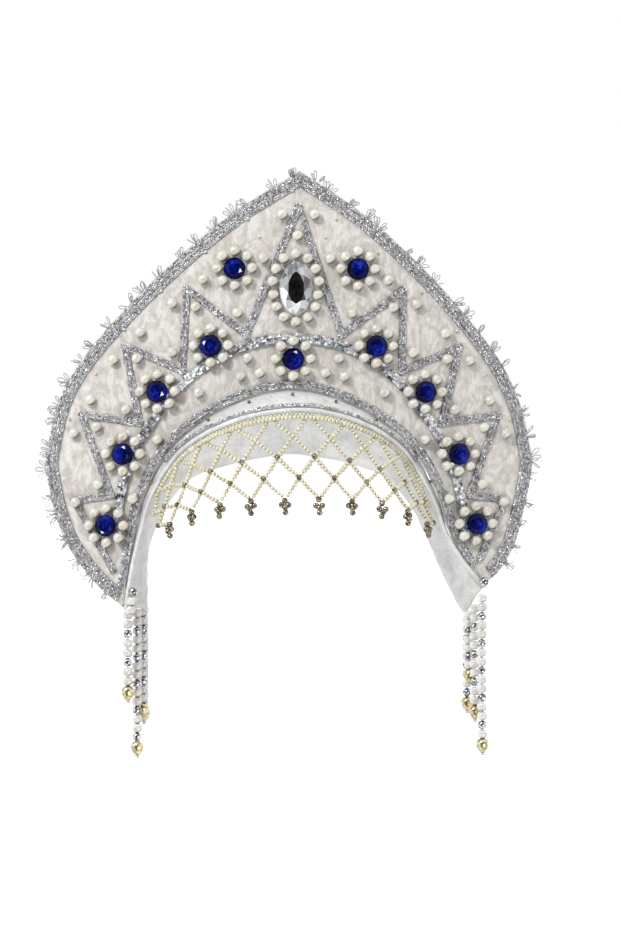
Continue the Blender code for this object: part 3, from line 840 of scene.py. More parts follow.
class Look:
    """A procedural material on a Principled shader."""

    def __init__(self, name, roughness, metallic=0.0, **sockets):
        self.material = bpy.data.materials.new(name)
        self.material.use_nodes = True
        self.tree = self.material.node_tree
        self.shader = self.tree.nodes["Principled BSDF"]
        self.shader.inputs["Roughness"].default_value = roughness
        self.shader.inputs["Metallic"].default_value = metallic
        for socket, value in sockets.items():
            self.shader.inputs[socket.replace("_", " ")].default_value = value

    def add(self, kind, **values):
        made = self.tree.nodes.new("ShaderNode" + kind)
        for key, value in values.items():
            made.inputs[key.replace("_", " ")].default_value = value
        return made

    def link(self, source, target):
        self.tree.links.new(source, target)

    def noise(self, scale, detail=2.0, stretch=(1.0, 1.0, 1.0), distortion=0.0):
        """A noise in metres, stretched along the axes."""
        places = self.add("TexCoord")
        mapping = self.add("Mapping", Scale=stretch)
        made = self.add("TexNoise", Scale=scale, Detail=detail, Distortion=distortion)
        self.link(places.outputs["Object"], mapping.inputs["Vector"])
        self.link(mapping.outputs["Vector"], made.inputs["Vector"])
        return made.outputs["Fac"]

    def tint(self):
        made = self.add("Attribute")
        made.attribute_name = "tint"
        return made.outputs["Fac"]

    def facing(self, way):
        """How far the surface faces one way in the world, from -1 to 1."""
        surface = self.add("NewGeometry")
        made = self.add("VectorMath")
        made.operation = "DOT_PRODUCT"
        made.inputs[1].default_value = Vector(way).normalized()
        self.link(surface.outputs["Normal"], made.inputs[0])
        return made.outputs["Value"]

    def ramp(self, factor, stops):
        """A colour from a factor by stops of place and colour."""
        made = self.add("ValToRGB")
        ramp = made.color_ramp
        while len(ramp.elements) < len(stops):
            ramp.elements.new(1.0)
        for element, (at, colour) in zip(ramp.elements, stops):
            element.position = at
            element.color = (*colour, 1.0)
        self.link(factor, made.inputs["Fac"])
        return made.outputs["Color"]

    def product(self, first, second):
        """One colour multiplied by another."""
        made = self.add("Mix")
        made.data_type = "RGBA"
        made.blend_type = "MULTIPLY"
        made.inputs["Factor"].default_value = 1.0
        self.link(first, made.inputs[MIX_A])
        self.link(second, made.inputs[MIX_B])
        return made.outputs[MIX_RESULT]

    def colour(self, source):
        self.link(source, self.shader.inputs["Base Color"])
        return self

    def bump(self, height, distance, strength=1.0):
        made = self.add("Bump", Distance=distance, Strength=strength)
        self.link(height, made.inputs["Height"])
        before = self.shader.inputs["Normal"].links
        if before:
            self.link(before[0].from_socket, made.inputs["Normal"])
        self.link(made.outputs["Normal"], self.shader.inputs["Normal"])
        return self


def grey(value, warm=0.0):
    """A grey, warm when positive and cool when negative."""
    return (value * (1 + warm), value, value * (1 - warm))


def make_looks():
    """Every material of the headdress, by name."""
    looks = {}

    cloth = Look("crest_satin", 0.5, Sheen_Weight=0.25, Sheen_Roughness=0.4)
    swirl = cloth.noise(105.0, 5.0, (1.0, 1.0, 0.6), 2.6)
    nap = cloth.noise(760.0, 3.0, (1.0, 1.0, 0.6), 1.2)
    base = cloth.ramp(
        swirl, [(0.36, (0.62, 0.58, 0.53)), (0.5, (0.74, 0.705, 0.655)), (0.62, (0.86, 0.83, 0.79))]
    )
    fleck = cloth.ramp(nap, [(0.36, grey(0.84)), (0.52, grey(0.98)), (0.7, grey(1.0))])
    cloth.colour(cloth.product(base, fleck))
    cloth.bump(nap, 0.35 * MM, 0.55).bump(swirl, 0.6 * MM, 0.5)
    looks["cloth"] = cloth

    satin = Look("band_satin", 0.38, Sheen_Weight=0.25, Specular_IOR_Level=0.6)
    fold = satin.noise(60.0, 3.0, (1.0, 0.5, 1.0), 0.8)
    weave = satin.noise(2600.0, 1.0, (1.0, 0.25, 1.0))
    # Painted shade of folds: the white satin is darker in soft noise patches
    satin_with_painted_shade = satin.ramp(
        fold, [(0.3, (0.72, 0.715, 0.70)), (0.5, (0.87, 0.87, 0.86)), (0.7, (0.96, 0.96, 0.96))]
    )
    # Painted shade: the satin is darker where it faces to either side
    for way in ((1.0, 0.0, 0.0), (-1.0, 0.0, 0.0)):
        painted_side_shade = satin.ramp(satin.facing(way), [(0.45, grey(1.0)), (0.9, grey(0.72))])
        satin_with_painted_shade = satin.product(satin_with_painted_shade, painted_side_shade)
    crease = satin.noise(170.0, 4.0, (1.0, 0.55, 0.8), 1.5)
    # Painted shade in the creases: the colour is darker where the crease bump sinks
    painted_crease_shade = satin.ramp(crease, [(0.36, grey(0.90)), (0.54, grey(1.0))])
    satin.colour(satin.product(satin_with_painted_shade, painted_crease_shade))
    satin.bump(weave, 0.12 * MM, 0.5).bump(crease, 2.2 * MM, 0.8)
    looks["band"] = satin

    lining = Look("lining", 0.8, Sheen_Weight=0.2)
    weave = lining.noise(1900.0, 2.0)
    lining.colour(lining.ramp(weave, [(0.35, (0.66, 0.64, 0.60)), (0.65, (0.76, 0.745, 0.71))]))
    lining.bump(weave, 0.2 * MM, 0.6)
    looks["lining"] = lining

    silver = Look("silver_thread", 0.36, 0.6)
    silver.colour(silver.ramp(silver.tint(), SILVER_STOPS))
    looks["silver"] = silver

    base = Look("braid_ground", 0.5, 0.6)
    threads = base.noise(1700.0, 2.0)
    base.colour(base.ramp(threads, [(0.3, (0.20, 0.20, 0.21)), (0.6, (0.52, 0.52, 0.535))]))
    base.bump(threads, 0.2 * MM, 0.8)
    looks["ground"] = base

    pale = Look("picot_thread", 0.5, 0.15)
    fibre = pale.noise(2200.0, 1.0)
    pale.colour(pale.ramp(fibre, [(0.3, (0.34, 0.34, 0.355)), (0.7, (0.60, 0.60, 0.62))]))
    looks["picot"] = pale

    sequin = Look("sequins", 0.34, 0.6)
    sequin.colour(sequin.ramp(sequin.tint(), SEQUIN_STOPS))
    looks["sequin"] = sequin

    # Each row: name, the body's two colours, the darkest grey of the beads' painted shade, and
    # roughness
    for name, low, high, rim, roughness in (
        ("pearl", (0.62, 0.60, 0.51), (0.86, 0.84, 0.75), 0.10, 0.18),
        ("white_pearl", (0.68, 0.67, 0.64), (0.88, 0.87, 0.84), 0.30, 0.18),
        ("seed", (0.72, 0.68, 0.47), (0.88, 0.85, 0.66), 0.52, 0.18),
    ):
        look = Look(name, roughness, Coat_Weight=1.0, Coat_Roughness=0.13, Specular_IOR_Level=0.7)
        cloud = look.noise(420.0, 2.0)
        body = look.ramp(cloud, [(0.3, low), (0.62, high)])
        shade = look.ramp(look.tint(), [(0.0, grey(0.88, 0.02)), (1.0, grey(1.0))])
        # Painted shade: the colour darkens towards the rim grey where the surface faces down, to the
        # right and a little back
        under = look.ramp(look.facing(PAINTED_SHADE_WAY), [(0.22, grey(1.0)), (0.62, grey(rim, 0.12))])
        body = look.product(body, shade)
        look.colour(look.product(body, under))
        looks[name] = look

    for name, dark, bright, roughness in (
        ("bronze", (0.10, 0.085, 0.06), (0.42, 0.37, 0.27), 0.25),
        ("gold", (0.42, 0.35, 0.18), (0.84, 0.77, 0.52), 0.24),
        ("steel", (0.10, 0.10, 0.12), (0.82, 0.83, 0.86), 0.16),
    ):
        look = Look(name, roughness, 0.95)
        patch = look.noise(700.0, 2.0)
        look.colour(look.ramp(patch, [(0.38, dark), (0.62, bright)]))
        looks[name] = look

    for key, name, scale, stops in GLASSES:
        glass = Look(name, 0.12, Specular_IOR_Level=0.12)
        glass.colour(glass.ramp(glass.tint(), stops))
        glass.bump(glass.noise(scale, 1.0), 0.05 * MM, 0.2)
        looks[key] = glass
    return {name: look.material for name, look in looks.items()}


def crest_rail(line, step, lift):
    """Places, along, across and out of the cloth at even steps of a flat line on the crest."""
    count = max(int(line_length(line) / step), 1) + 1
    flat = resample(line, count)
    places = bent(flat[:, 0], flat[:, 1], lift)
    out = crest_out(flat[:, 0])
    along = unit(np.gradient(places, axis=0))
    across = unit(np.cross(out, along))
    return places, along, across, out


def ridged_profile(width, thickness, ridges):
    """A flat strip's section with rounded ridges on top."""
    top = []
    steps = ridges * 6
    for k in range(steps + 1):
        t = k / steps
        hump = abs(math.sin(math.pi * t * ridges))
        top.append((width * (0.5 - t), thickness * (0.35 + 0.4 * hump)))
    return [(-width / 2, 0.0), (width / 2, 0.0)] + top


def plait(ground, threads, rail, width, thickness, ridges, random, grain_shape, pitch):
    """A braid: a ridged strip, and two slanted rows of metal grains along each ridge."""
    places, along, across, out = rail
    coarse = slice(None, None, 2)
    sweep(
        ground,
        places[coarse],
        across[coarse],
        out[coarse],
        ridged_profile(width, thickness, ridges),
    )
    lane = width / (2 * ridges)
    count = len(places)
    for ridge in range(ridges):
        for side in (-1, 1):
            offset = -width / 2 + lane * (2 * ridge + 1) + side * lane * GRAIN_LANE_SHARE
            slant = side * GRAIN_SLANT + random.normal(0.0, GRAIN_SLANT_SPREAD, count)
            slant = slant[:, None]
            forward = along * np.cos(slant) + across * np.sin(slant)
            shift = random.normal(0.0, GRAIN_SHIFT, (count, 3))
            height = thickness * GRAIN_HEIGHT_SHARE
            centres = places + across * offset + out * height + shift
            centres = centres + along * (side * pitch / 4)
            tilt = out + random.normal(0.0, GRAIN_TILT, (count, 3))
            # Random tints for each grain: partly uneven tone, partly painted glints and dark painted
            # reflections
            tints = random.beta(1.15, 1.25, count)
            scales = random.uniform(0.8, 1.15, count)
            threads.stamp(grain_shape, centres, axes(forward, tilt), scales, tints)


def crest_braid(name, legs, width, thickness, looks):
    """One braid of the crest from its legs, as a ground strip and its metal threads."""
    random = random_for(name)
    ridges = BRAID_RIDGES[name]
    ground = Gather()
    threads = Gather()
    shape = grain("crest")
    for number, leg in enumerate(legs):
        rail = crest_rail(leg, BRAID_PITCH, SEAT_GAP + 0.12 * MM * (number % 2))
        plait(ground, threads, rail, width, thickness, ridges, random, shape, BRAID_PITCH)
    ground.make(name + "_ground", looks["ground"], [name])
    threads.make(name + "_threads", looks["silver"], [name], smooth=False)


def inside(outline, points):
    """Which points lie inside a closed outline."""
    x, y = points[:, :1], points[:, 1:]
    a = np.asarray(outline)
    b = np.roll(a, -1, axis=0)
    spans = (a[None, :, 1] > y) != (b[None, :, 1] > y)
    rise = np.where(a[:, 1] == b[:, 1], 1e-12, b[:, 1] - a[:, 1])
    cut = (b[:, 0] - a[:, 0])[None] * (y - a[None, :, 1]) / rise[None] + a[None, :, 0]
    return (np.sum(spans & (x < cut), axis=1) % 2) == 1


def filled(outline, step):
    """Triangles that fill a flat outline with an even net of points: points, faces, the border."""
    border = np.array([tuple(p) for p in outline])
    low, high = border.min(axis=0), border.max(axis=0)
    rows = np.arange(low[1], high[1], step * 0.866)
    lattice = []
    for number, w in enumerate(rows):
        us = np.arange(low[0] + (number % 2) * step / 2, high[0], step)
        lattice.append(np.column_stack([us, np.full(len(us), w)]))
    lattice = np.concatenate(lattice)
    lattice = lattice[inside(border, lattice)]
    gap = np.linalg.norm(lattice[:, None, :] - border[None], axis=2).min(axis=1)
    lattice = lattice[gap > step * 0.55]
    given = [Vector(p) for p in np.concatenate([border, lattice])]
    made = geometry.delaunay_2d_cdt(given, [], [list(range(len(border)))], 1, 1e-7)
    points = np.array([tuple(p) for p in made[0]])
    where = {}
    for number, sources in enumerate(made[3]):
        for source in sources:
            where[source] = number
    rim = np.array([where[k] for k in range(len(border))])
    return points, np.array([f for f in made[2] if len(f) == 3]), rim


def tree_of(points):
    tree = kdtree.KDTree(len(points))
    for number, point in enumerate(points):
        tree.insert((point[0], point[1], 0.0), number)
    tree.balance()
    return tree


def wound(flat, faces, way):
    """The triangles, turned where needed so that all of them run round the same way."""
    corners = flat[faces]
    a, b = corners[:, 1] - corners[:, 0], corners[:, 2] - corners[:, 0]
    wrong = way * (a[:, 0] * b[:, 1] - a[:, 1] * b[:, 0]) < 0
    faces[wrong] = faces[wrong][:, ::-1]
    return faces


def cloth_lift(flat, braids, pearls):
    """How far the satin stands over the board at each flat point."""
    seams = []
    for line, _, _ in braids.values():
        seams += list(resample(line, int(line_length(line) / MM)))
    seam_tree = tree_of(seams)
    pearl_tree = tree_of(pearls)
    lift = []
    for u, w in flat:
        seam = max(seam_tree.find((u, w, 0.0))[2] - SEAM_HALF_WIDTH, 0.0)
        pearl = max(pearl_tree.find((u, w, 0.0))[2] - PEARL_RADIUS, 0.0)
        swell = SWELL * (1.0 - math.exp(-seam / SWELL_RUN))
        dimple = DIMPLE * math.exp(-pearl / DIMPLE_RUN)
        ripple = RIPPLE * noise.noise(Vector((u, w, 0.0)) * RIPPLES_A_METRE)
        lift.append(swell - dimple + ripple)
    return np.array(lift)


def build_cloth(looks, braids, pearls):
    """The satin over the board, swelling between seams and pulled down round each pearl."""
    outer = mirrored(smooth_line(OUTER_EDGE, pointed=True))
    inner = mirrored(smooth_line(INNER_EDGE))
    flat, faces, rim = filled(outer + inner[-2:0:-1], CLOTH_STEP)
    lift = cloth_lift(flat, braids, pearls)
    lift[rim] = 0.0
    front = bent(flat[:, 0], flat[:, 1], lift)
    back = bent(flat[:, 0], flat[:, 1], -CREST_THICKNESS)
    border = flat[rim]
    after = np.roll(border, -1, axis=0)
    along = unit(after - np.roll(border, 1, axis=0))
    turn = np.sum(border[:, 0] * after[:, 1] - border[:, 1] * after[:, 0])
    outward = np.column_stack([along[:, 1], -along[:, 0]]) * math.copysign(1.0, turn)
    middle = border + outward * 0.5 * MM
    bulge = bent(middle[:, 0], middle[:, 1], -CREST_THICKNESS / 2)
    count = len(flat)
    k = np.arange(len(rim))
    n = (k + 1) % len(rim)
    first = np.stack([rim[k], rim[n], 2 * count + n, 2 * count + k], axis=1)
    second = np.stack([2 * count + k, 2 * count + n, count + rim[n], count + rim[k]], axis=1)
    if turn > 0:
        first, second = first[:, ::-1], second[:, ::-1]
    faces = wound(flat, faces, 1)
    gather = Gather()
    gather.add(np.concatenate([front, back, bulge]), [faces, count + faces[:, ::-1], first, second])
    gather.make("crest_cloth", looks["cloth"], ["crest_panel"])


def build_lining(looks):
    """The lining on the crest's back, turned in from the edge and whipped down with stitches."""
    outer = offset_line(mirrored(smooth_line(OUTER_EDGE, pointed=True)), -LINING_INSET)
    inner = offset_line(mirrored(smooth_line(INNER_EDGE)), LINING_INSET)
    outer = trimmed(outer, LINING_EDGE_SPACE)
    inner = trimmed(inner, LINING_ARCH_SPACE)
    flat, faces, rim = filled(outer + inner[::-1], LINING_STEP)
    ripple = np.array([noise.noise(Vector((u, w, 3.0)) * 90.0) for u, w in flat])
    lift = -CREST_THICKNESS - LINING_SWELL - LINING_RIPPLE * ripple
    lift[rim] = -CREST_THICKNESS - LINING_RIPPLE
    outside = bent(flat[:, 0], flat[:, 1], lift)
    under = bent(flat[:, 0], flat[:, 1], -CREST_THICKNESS + LINING_BITE)
    count = len(flat)
    faces = wound(flat, faces, -1)
    k = np.arange(len(rim))
    n = (k + 1) % len(rim)
    wall = np.stack([rim[k], rim[n], count + rim[n], count + rim[k]], axis=1)
    gather = Gather()
    gather.add(np.concatenate([outside, under]), [faces, count + faces[:, ::-1], wall])
    gather.make("crest_lining", looks["lining"])
    random = random_for("lining")
    stitches = Gather()
    for line in (outer, inner):
        rail = crest_rail(line, STITCH_PITCH, -CREST_THICKNESS - LINING_BITE)
        places, along, across, out = rail
        slant = STITCH_SLANT + random.normal(0.0, 0.08, (len(places), 1))
        forward = along * np.cos(slant) + across * np.sin(slant)
        stitches.stamp(grain("stitch"), places, axes(forward, out), 1.0, 0.8)
    stitches.make("lining_stitches", looks["picot"])


def build_pearls(looks, braids, spots):
    """The pearls of the crest, each with the hole of its thread lying along the cloth."""
    random = random_for("pearls")
    shape = bead(PEARL_RADIUS, PEARL_RADIUS * 0.97, 0.42 * MM, 16, 10)
    places, turns, tints = [], [], []
    for spot in spots:
        point, lift = settled(spot, PEARL_RADIUS, braids)
        out = crest_out(point.x)
        angle = random.uniform(0.0, math.pi)
        way = np.array([math.cos(angle), 0.0, math.sin(angle)]) + out * random.uniform(-0.25, 0.25)
        places.append(bent(point.x, point.y, lift + 2.5 * MM))
        turns.append(axes(way, out))
        tints.append(random.uniform(0.0, 1.0))
    gather = Gather()
    gather.stamp(shape, np.array(places), np.array(turns), 1.0, np.array(tints))
    gather.make("crest_pearls", looks["pearl"], ["crest_panel"])


def pear_ring(count, phase, half_width, half_height, height, narrowing):
    """A ring of points, drawn in towards the top by the narrowing."""
    angles = (np.arange(count) + phase) * 2 * math.pi / count
    narrow = 1.0 - narrowing * np.maximum(np.cos(angles), 0.0) ** 2
    u = half_width * np.sin(angles) * narrow
    return np.column_stack([u, half_height * np.cos(angles), np.full(count, height)])


def cut_stone(half_width, half_height, height, sides, narrowing, tint_of):
    """A cut stone with a table, star, kite and girdle facets; its tints are painted reflections and
    flashes.
    """
    n = sides
    rings = [
        pear_ring(per * n, phase, half_width * wide, half_height * tall, height * up, narrowing)
        for phase, wide, tall, up, per in STONE_RINGS
    ]
    points = np.concatenate([[(0.0, 0.0, height)]] + rings)
    inner, table, star, girdle, low, base = (1 + n * k for k in (0, 1, 2, 3, 5, 7))
    groups = {kind: [] for kind in ("heart", "table", "star", "kite", "girdle", "side")}
    for k in range(n):
        m = (k + 1) % n
        last = (k - 1) % n
        edge = girdle + (2 * k + 2) % (2 * n)
        groups["heart"].append((0, inner + k, inner + m))
        groups["table"].append((inner + k, table + k, table + m))
        groups["table"].append((inner + k, table + m, inner + m))
        groups["star"].append((table + k, star + k, table + m))
        groups["kite"].append((table + k, star + last, girdle + 2 * k, star + k))
        groups["girdle"].append((star + k, girdle + 2 * k, girdle + 2 * k + 1))
        groups["girdle"].append((star + k, girdle + 2 * k + 1, edge))
    for k in range(2 * n):
        m = (k + 1) % (2 * n)
        groups["side"].append((girdle + k, low + k, low + m, girdle + m))
        groups["side"].append((low + k, base + k, base + m, low + m))
    groups["foot"] = [tuple(base + k for k in range(2 * n))]
    faces = [np.array(rows) for rows in groups.values()]
    tints = [tint_of(kind, points[rows].mean(axis=1)) for kind, rows in zip(groups, faces)]
    return points, faces, tints


def stone_settings(gather, spot, lift, radius):
    """A silver cup under the stone's edge."""
    side, up, out = crest_axes(spot.x)
    centre = bent(spot.x, spot.y, lift)
    angles = np.linspace(0.0, 2 * math.pi, 28, endpoint=False)
    ring = centre + radius * (np.cos(angles)[:, None] * side + np.sin(angles)[:, None] * up)
    radial = unit(ring - centre)
    profile = np.array(STONE_CUP) * MM
    sweep(gather, ring, radial, np.broadcast_to(out, ring.shape), profile, True, 0.75)


def seated(points, spot, lift):
    """A piece's own +Z turned to face out of the crest at a spot."""
    turn = np.stack(crest_axes(spot.x), axis=1)
    return points @ turn.T + bent(spot.x, spot.y, lift)


def make_stone(cut, spot, lift, name, look, replaced):
    """A cut stone placed on the crest: a piece of its own."""
    points, faces, tints = cut
    stone = Gather()
    stone.points.append(seated(points, spot, lift))
    stone.faces += faces
    stone.tints += tints
    stone.make(name, look, [replaced], smooth=False)


def build_stones(looks, braids):
    """The blue stones and the clear drop in their silver settings."""
    settings = Gather()
    for number, spot in enumerate(both_sides(STONES), 1):
        random = np.random.default_rng(FIRST_STONE_SEED + number)
        lean = random.uniform(0.0, 2 * math.pi)

        def blue_painted_reflections(kind, middles):
            """Painted reflections on bright and dark facets: the painted light sits on one side, and on
            every other stone one star facet by the table gets a painted flash.
            """
            turn = np.arctan2(middles[:, 1], middles[:, 0])
            base = {"heart": 0.58, "table": 0.52, "star": 0.5, "kite": 0.45, "girdle": 0.36}
            painted_light = base.get(kind, 0.2) + 0.15 * np.cos(turn - lean)
            painted_light = np.clip(painted_light + random.normal(0.0, 0.14, len(middles)), 0.0, 0.9)
            if kind == "star" and number % 2:
                painted_light[random.integers(0, len(painted_light))] = 1.0
            return painted_light

        lift = rest_lift(spot, STONE_RADIUS, braids)
        cut = cut_stone(
            STONE_CUT_RADIUS, STONE_CUT_RADIUS, STONE_HEIGHT, STONE_SIDES, 0.0, blue_painted_reflections
        )
        node = f"blue_stone_{number}"
        make_stone(cut, spot, lift, f"cut_stone_{number}", looks["blue"], node)
        stone_settings(settings, spot, lift, STONE_CUP_RADIUS)
    random = random_for("drop")

    def clear_painted_reflections(kind, middles):
        """Painted reflections: a long dark table, grey shoulders, and painted bright flashes at the
        foot and its left.
        """
        w = middles[:, 1] / DROP_HALF_HEIGHT
        u = middles[:, 0] / DROP_HALF_WIDTH
        base = {"heart": 0.02, "table": 0.05, "star": 0.42, "kite": 0.52, "girdle": 0.66}
        # The facets low and to the left get painted flashes
        low = w < -0.28 - 0.25 * u
        spread = 0.03 if kind in ("heart", "table") else 0.19
        painted_reflection = base.get(kind, 0.6) + random.normal(0.0, spread, len(middles))
        bright = low & (kind not in ("heart", "table"))
        return np.clip(np.where(bright, 0.34 + 0.95 * painted_reflection, painted_reflection), 0.0, 1.0)

    spot = leaned(place(DROP_PLACE))
    wide, tall = DROP_HALF_WIDTH * 0.94, DROP_HALF_HEIGHT * 0.96
    cut = cut_stone(wide, tall, DROP_HEIGHT, DROP_SIDES, DROP_NARROWING, clear_painted_reflections)
    make_stone(cut, spot, SEAT_GAP, "cut_drop", looks["crystal"], "drop_stone")
    wide, tall = DROP_HALF_WIDTH * 0.97, DROP_HALF_HEIGHT * 0.98
    ring = seated(pear_ring(40, 0.0, wide, tall, 0.0, DROP_NARROWING), spot, SEAT_GAP)
    centre = bent(spot.x, spot.y, SEAT_GAP)
    profile = np.array(DROP_CUP) * MM
    out = np.broadcast_to(crest_out(spot.x), ring.shape)
    sweep(settings, ring, unit(ring - centre), out, profile, True, 0.75)
    settings.make("stone_settings", looks["silver"])


def build_sequins(looks, braids):
    """The arc's ground strip and three rows of small tilted sequins on it."""
    line, width, thickness = braids["sequin_arc"]
    random = random_for("sequins")
    ground = Gather()
    places, along, across, out = crest_rail(line, SEQUIN_PITCH, SEAT_GAP)
    sweep(ground, places, across, out, ridged_profile(width, thickness * 0.8, 3))
    ground.make("sequin_arc_ground", looks["ground"], ["sequin_arc"])
    sequins = Gather()
    shape = sequin_shape(SEQUIN_RADIUS, SEQUIN_DEPTH, 8)
    for lane in SEQUIN_LANES:
        count = len(places)
        shift = random.normal(0.0, 0.12 * MM, (count, 3))
        centres = places + across * lane * MM + out * (thickness * 0.95) + shift
        tilt = out + random.normal(0.0, 0.32, (count, 3)) + along * 0.25
        # Tints at random in patches: painted glints and dark painted reflections on the sequins
        patches = np.array([noise.noise(Vector(p) * 60.0) for p in centres])
        tints = np.clip(0.46 + patches * 0.2 + random.normal(0.0, 0.26, count), 0.0, 1.0)
        sequins.stamp(shape, centres, axes(along, tilt), 1.0, tints)
    beads = bead_of("sequin")
    for lane in SEQUIN_BEAD_LANES:
        centres = places[::2] + across[::2] * lane * MM + out[::2] * (thickness * 1.1)
        tints = random.uniform(0.6, 1.0, len(centres))
        sequins.stamp(beads, centres, axes(along[::2], out[::2]), 1.0, tints)
    sequins.make("sequin_arc_sequins", looks["sequin"], ["sequin_arc"], smooth=False)


def build_picots(looks):
    """Clusters of fine thread loops that stand out round the crest's outer edge."""
    random = random_for("picots")
    outer = mirrored(smooth_line(OUTER_EDGE, pointed=True))
    places, along, across, out = crest_rail(outer, PICOT_PITCH, 0.3 * MM)
    gather = Gather()
    turn = np.linspace(0.0, 2 * math.pi, PICOT_STEPS, endpoint=False)
    reach = (1.0 - np.cos(turn)) / 2
    width = np.sin(turn) * (0.45 + 0.55 * reach)
    for k in range(1, len(places) - 1):
        bunch = random.normal(0.0, PICOT_BUNCH) * MM
        for _ in range(random.integers(3, 6)):
            fan = random.uniform(-PICOT_FAN, PICOT_FAN)
            size = random.uniform(*PICOT_LENGTHS) * MM * math.cos(fan * 0.5)
            rise = random.normal(0.0, PICOT_RISE)
            way = unit(across[k] * math.cos(fan) + along[k] * math.sin(fan) + out[k] * rise)
            flat = unit(np.cross(out[k], way))
            twist = random.normal(0.0, PICOT_TWIST)
            side = flat * math.cos(twist) + np.cross(way, flat) * math.sin(twist)
            shift = fan * PICOT_SPREAD * MM + bunch
            root = places[k] + along[k] * shift - across[k] * PICOT_ROOT * MM
            wide = (width * size * PICOT_WIDTH)[:, None]
            path = root + way * (reach * size)[:, None] + side * wide
            forward = unit(np.roll(path, -1, axis=0) - np.roll(path, 1, axis=0))
            facing = np.broadcast_to(unit(np.cross(way, side)), path.shape)
            thread = circle(PICOT_THREAD, 5)
            sweep(gather, path, unit(np.cross(facing, forward)), facing, thread, True)
    gather.make("picot_loops", looks["picot"], ["edge_braid"])


def station_values(share):
    """The band's front inset, rear reach and rear inset at a share of the half arch, eased."""
    rows = np.array(BAND_STATIONS)
    near = share + np.linspace(-STATION_EASE, STATION_EASE, 9)
    near = np.clip(np.abs(near), 0.0, 1.0)
    front, reach, inset = (np.interp(near, rows[:, 0], rows[:, k]).mean() for k in (1, 2, 3))
    return front * BAND_FRONT_INSET, reach * BAND_REAR_REACH, inset * BAND_REAR_INSET


def brow_depth(x):
    inner = max(BROW_RADIUS**2 - x * x, 0.0)
    return BROW_RADIUS - BAND_FRONT_REACH - math.sqrt(inner)


class Band:
    """The head band's middle surface, given at stations along the arch."""

    def __init__(self):
        half = smooth_line(INNER_EDGE)
        foot = half[-1] + (half[-1] - half[-2]).normalized() * BAND_FOOT
        half += [half[-1].lerp(foot, k / 2) for k in (1, 2)]
        self.line = mirrored(half)
        total = lengths_along(self.line)
        middle = total[-1] / 2
        self.shares = [min(abs(at - middle) / middle, 1.0) for at in total]
        level = half[:0:-1] + half
        self.drops = [
            p.y - flat.y + BAND_REAR_DROP * share**4
            for p, flat, share in zip(self.line, level, self.shares)
        ]
        self.inward = [
            corner_shift(
                self.line[i - 1] if i else None,
                point,
                self.line[i + 1] if i + 1 < len(self.line) else None,
            )
            * -1.0
            for i, point in enumerate(self.line)
        ]

    def front_depth(self, i):
        u = self.line[i].x
        return min(brow_depth(u), sag(u) - CREST_THICKNESS - BAND_LIP)

    def at(self, i, inset, depth, lowered=0.0):
        point = self.line[i] + self.inward[i] * (SEAT_GAP + BAND_THICKNESS / 2 + inset)
        return Vector((point.x, depth, point.y - self.drops[i] * lowered + SEAT_RISE))

    def strip_slope(self, i):
        front = station_values(self.shares[i])[0]
        run = sag(self.line[i].x) - self.front_depth(i)
        return front, run

    def row(self, i, strip_steps, rear_steps):
        """The section at station i, from the front edge to the rear edge."""
        front, reach, inset = station_values(self.shares[i])
        back = sag(self.line[i].x)
        edge = self.at(i, front, self.front_depth(i))
        seat = self.at(i, 0.0, back)
        points = [edge.lerp(seat, k / strip_steps) for k in range(strip_steps)]
        half_way = BAND_BOW_TOP + (BAND_BOW_FOOT - BAND_BOW_TOP) * self.shares[i]
        for k in range(rear_steps + 1):
            t = k / rear_steps
            across = (4 * half_way - 1) * t + (2 - 4 * half_way) * t * t
            points.append(self.at(i, inset * across, back + reach * t, t))
        return points


def grid_out(grid):
    down = np.gradient(grid, axis=0)
    over = np.gradient(grid, axis=1)
    return unit(np.cross(down, over))


def shell(gather, grid, thickness):
    """A closed wall of a thickness about a grid of points."""
    out = grid_out(grid)
    m, n = grid.shape[:2]
    upper = (grid + out * thickness / 2).reshape(-1, 3)
    lower = (grid - out * thickness / 2).reshape(-1, 3)
    i, k = np.meshgrid(np.arange(m - 1), np.arange(n - 1), indexing="ij")
    a = (i * n + k).ravel()
    top = np.stack([a, a + n, a + n + 1, a + 1], axis=1)
    border = np.concatenate(
        [
            np.arange(n),
            np.arange(1, m) * n + n - 1,
            (m - 1) * n + np.arange(n - 2, -1, -1),
            np.arange(m - 2, 0, -1) * n,
        ]
    )
    after = np.roll(border, -1)
    wall = np.stack([border, after, after + m * n, border + m * n], axis=1)
    gather.add(np.concatenate([upper, lower]), [top, top[:, ::-1] + m * n, wall])


def build_band(band, looks):
    """The satin head band with soft folds, and a rolled hem along its two edges."""
    rows = (band.row(i, STRIP_STEPS, REAR_STEPS) for i in range(len(band.line)))
    grid = np.array([[tuple(p) for p in row] for row in rows])
    out = grid_out(grid)
    fold = np.zeros(grid.shape[:2])
    for i in range(grid.shape[0]):
        share = band.shares[i]
        for k in range(grid.shape[1]):
            x, y, z = grid[i, k]
            wave = noise.noise(Vector((x * 95.0, y * 30.0, z * 60.0 + 5.0)))
            fine = noise.noise(Vector((x * 260.0, y * 60.0, z * 150.0)))
            calm = STRIP_CALM if k < STRIP_STEPS else 1.0
            height = (wave * FOLD_HEIGHT + fine * FINE_FOLD_HEIGHT) * MM
            fold[i, k] = height * (TOP_CALM + (1.0 - TOP_CALM) * share**2) * calm
    grid = grid + out * fold[:, :, None]
    gather = Gather()
    shell(gather, grid, BAND_THICKNESS)
    gather.make("band_cloth", looks["band"], ["head_band"])
    hems = Gather()
    for column in (0, -1):
        path = grid[:, column]
        forward = unit(np.gradient(path, axis=0))
        across = unit(np.cross(out[:, column], forward))
        sweep(hems, path, across, out[:, column], circle(HEM_RADIUS, 8))
    hems.make("band_hems", looks["band"], ["head_band"])
    return grid


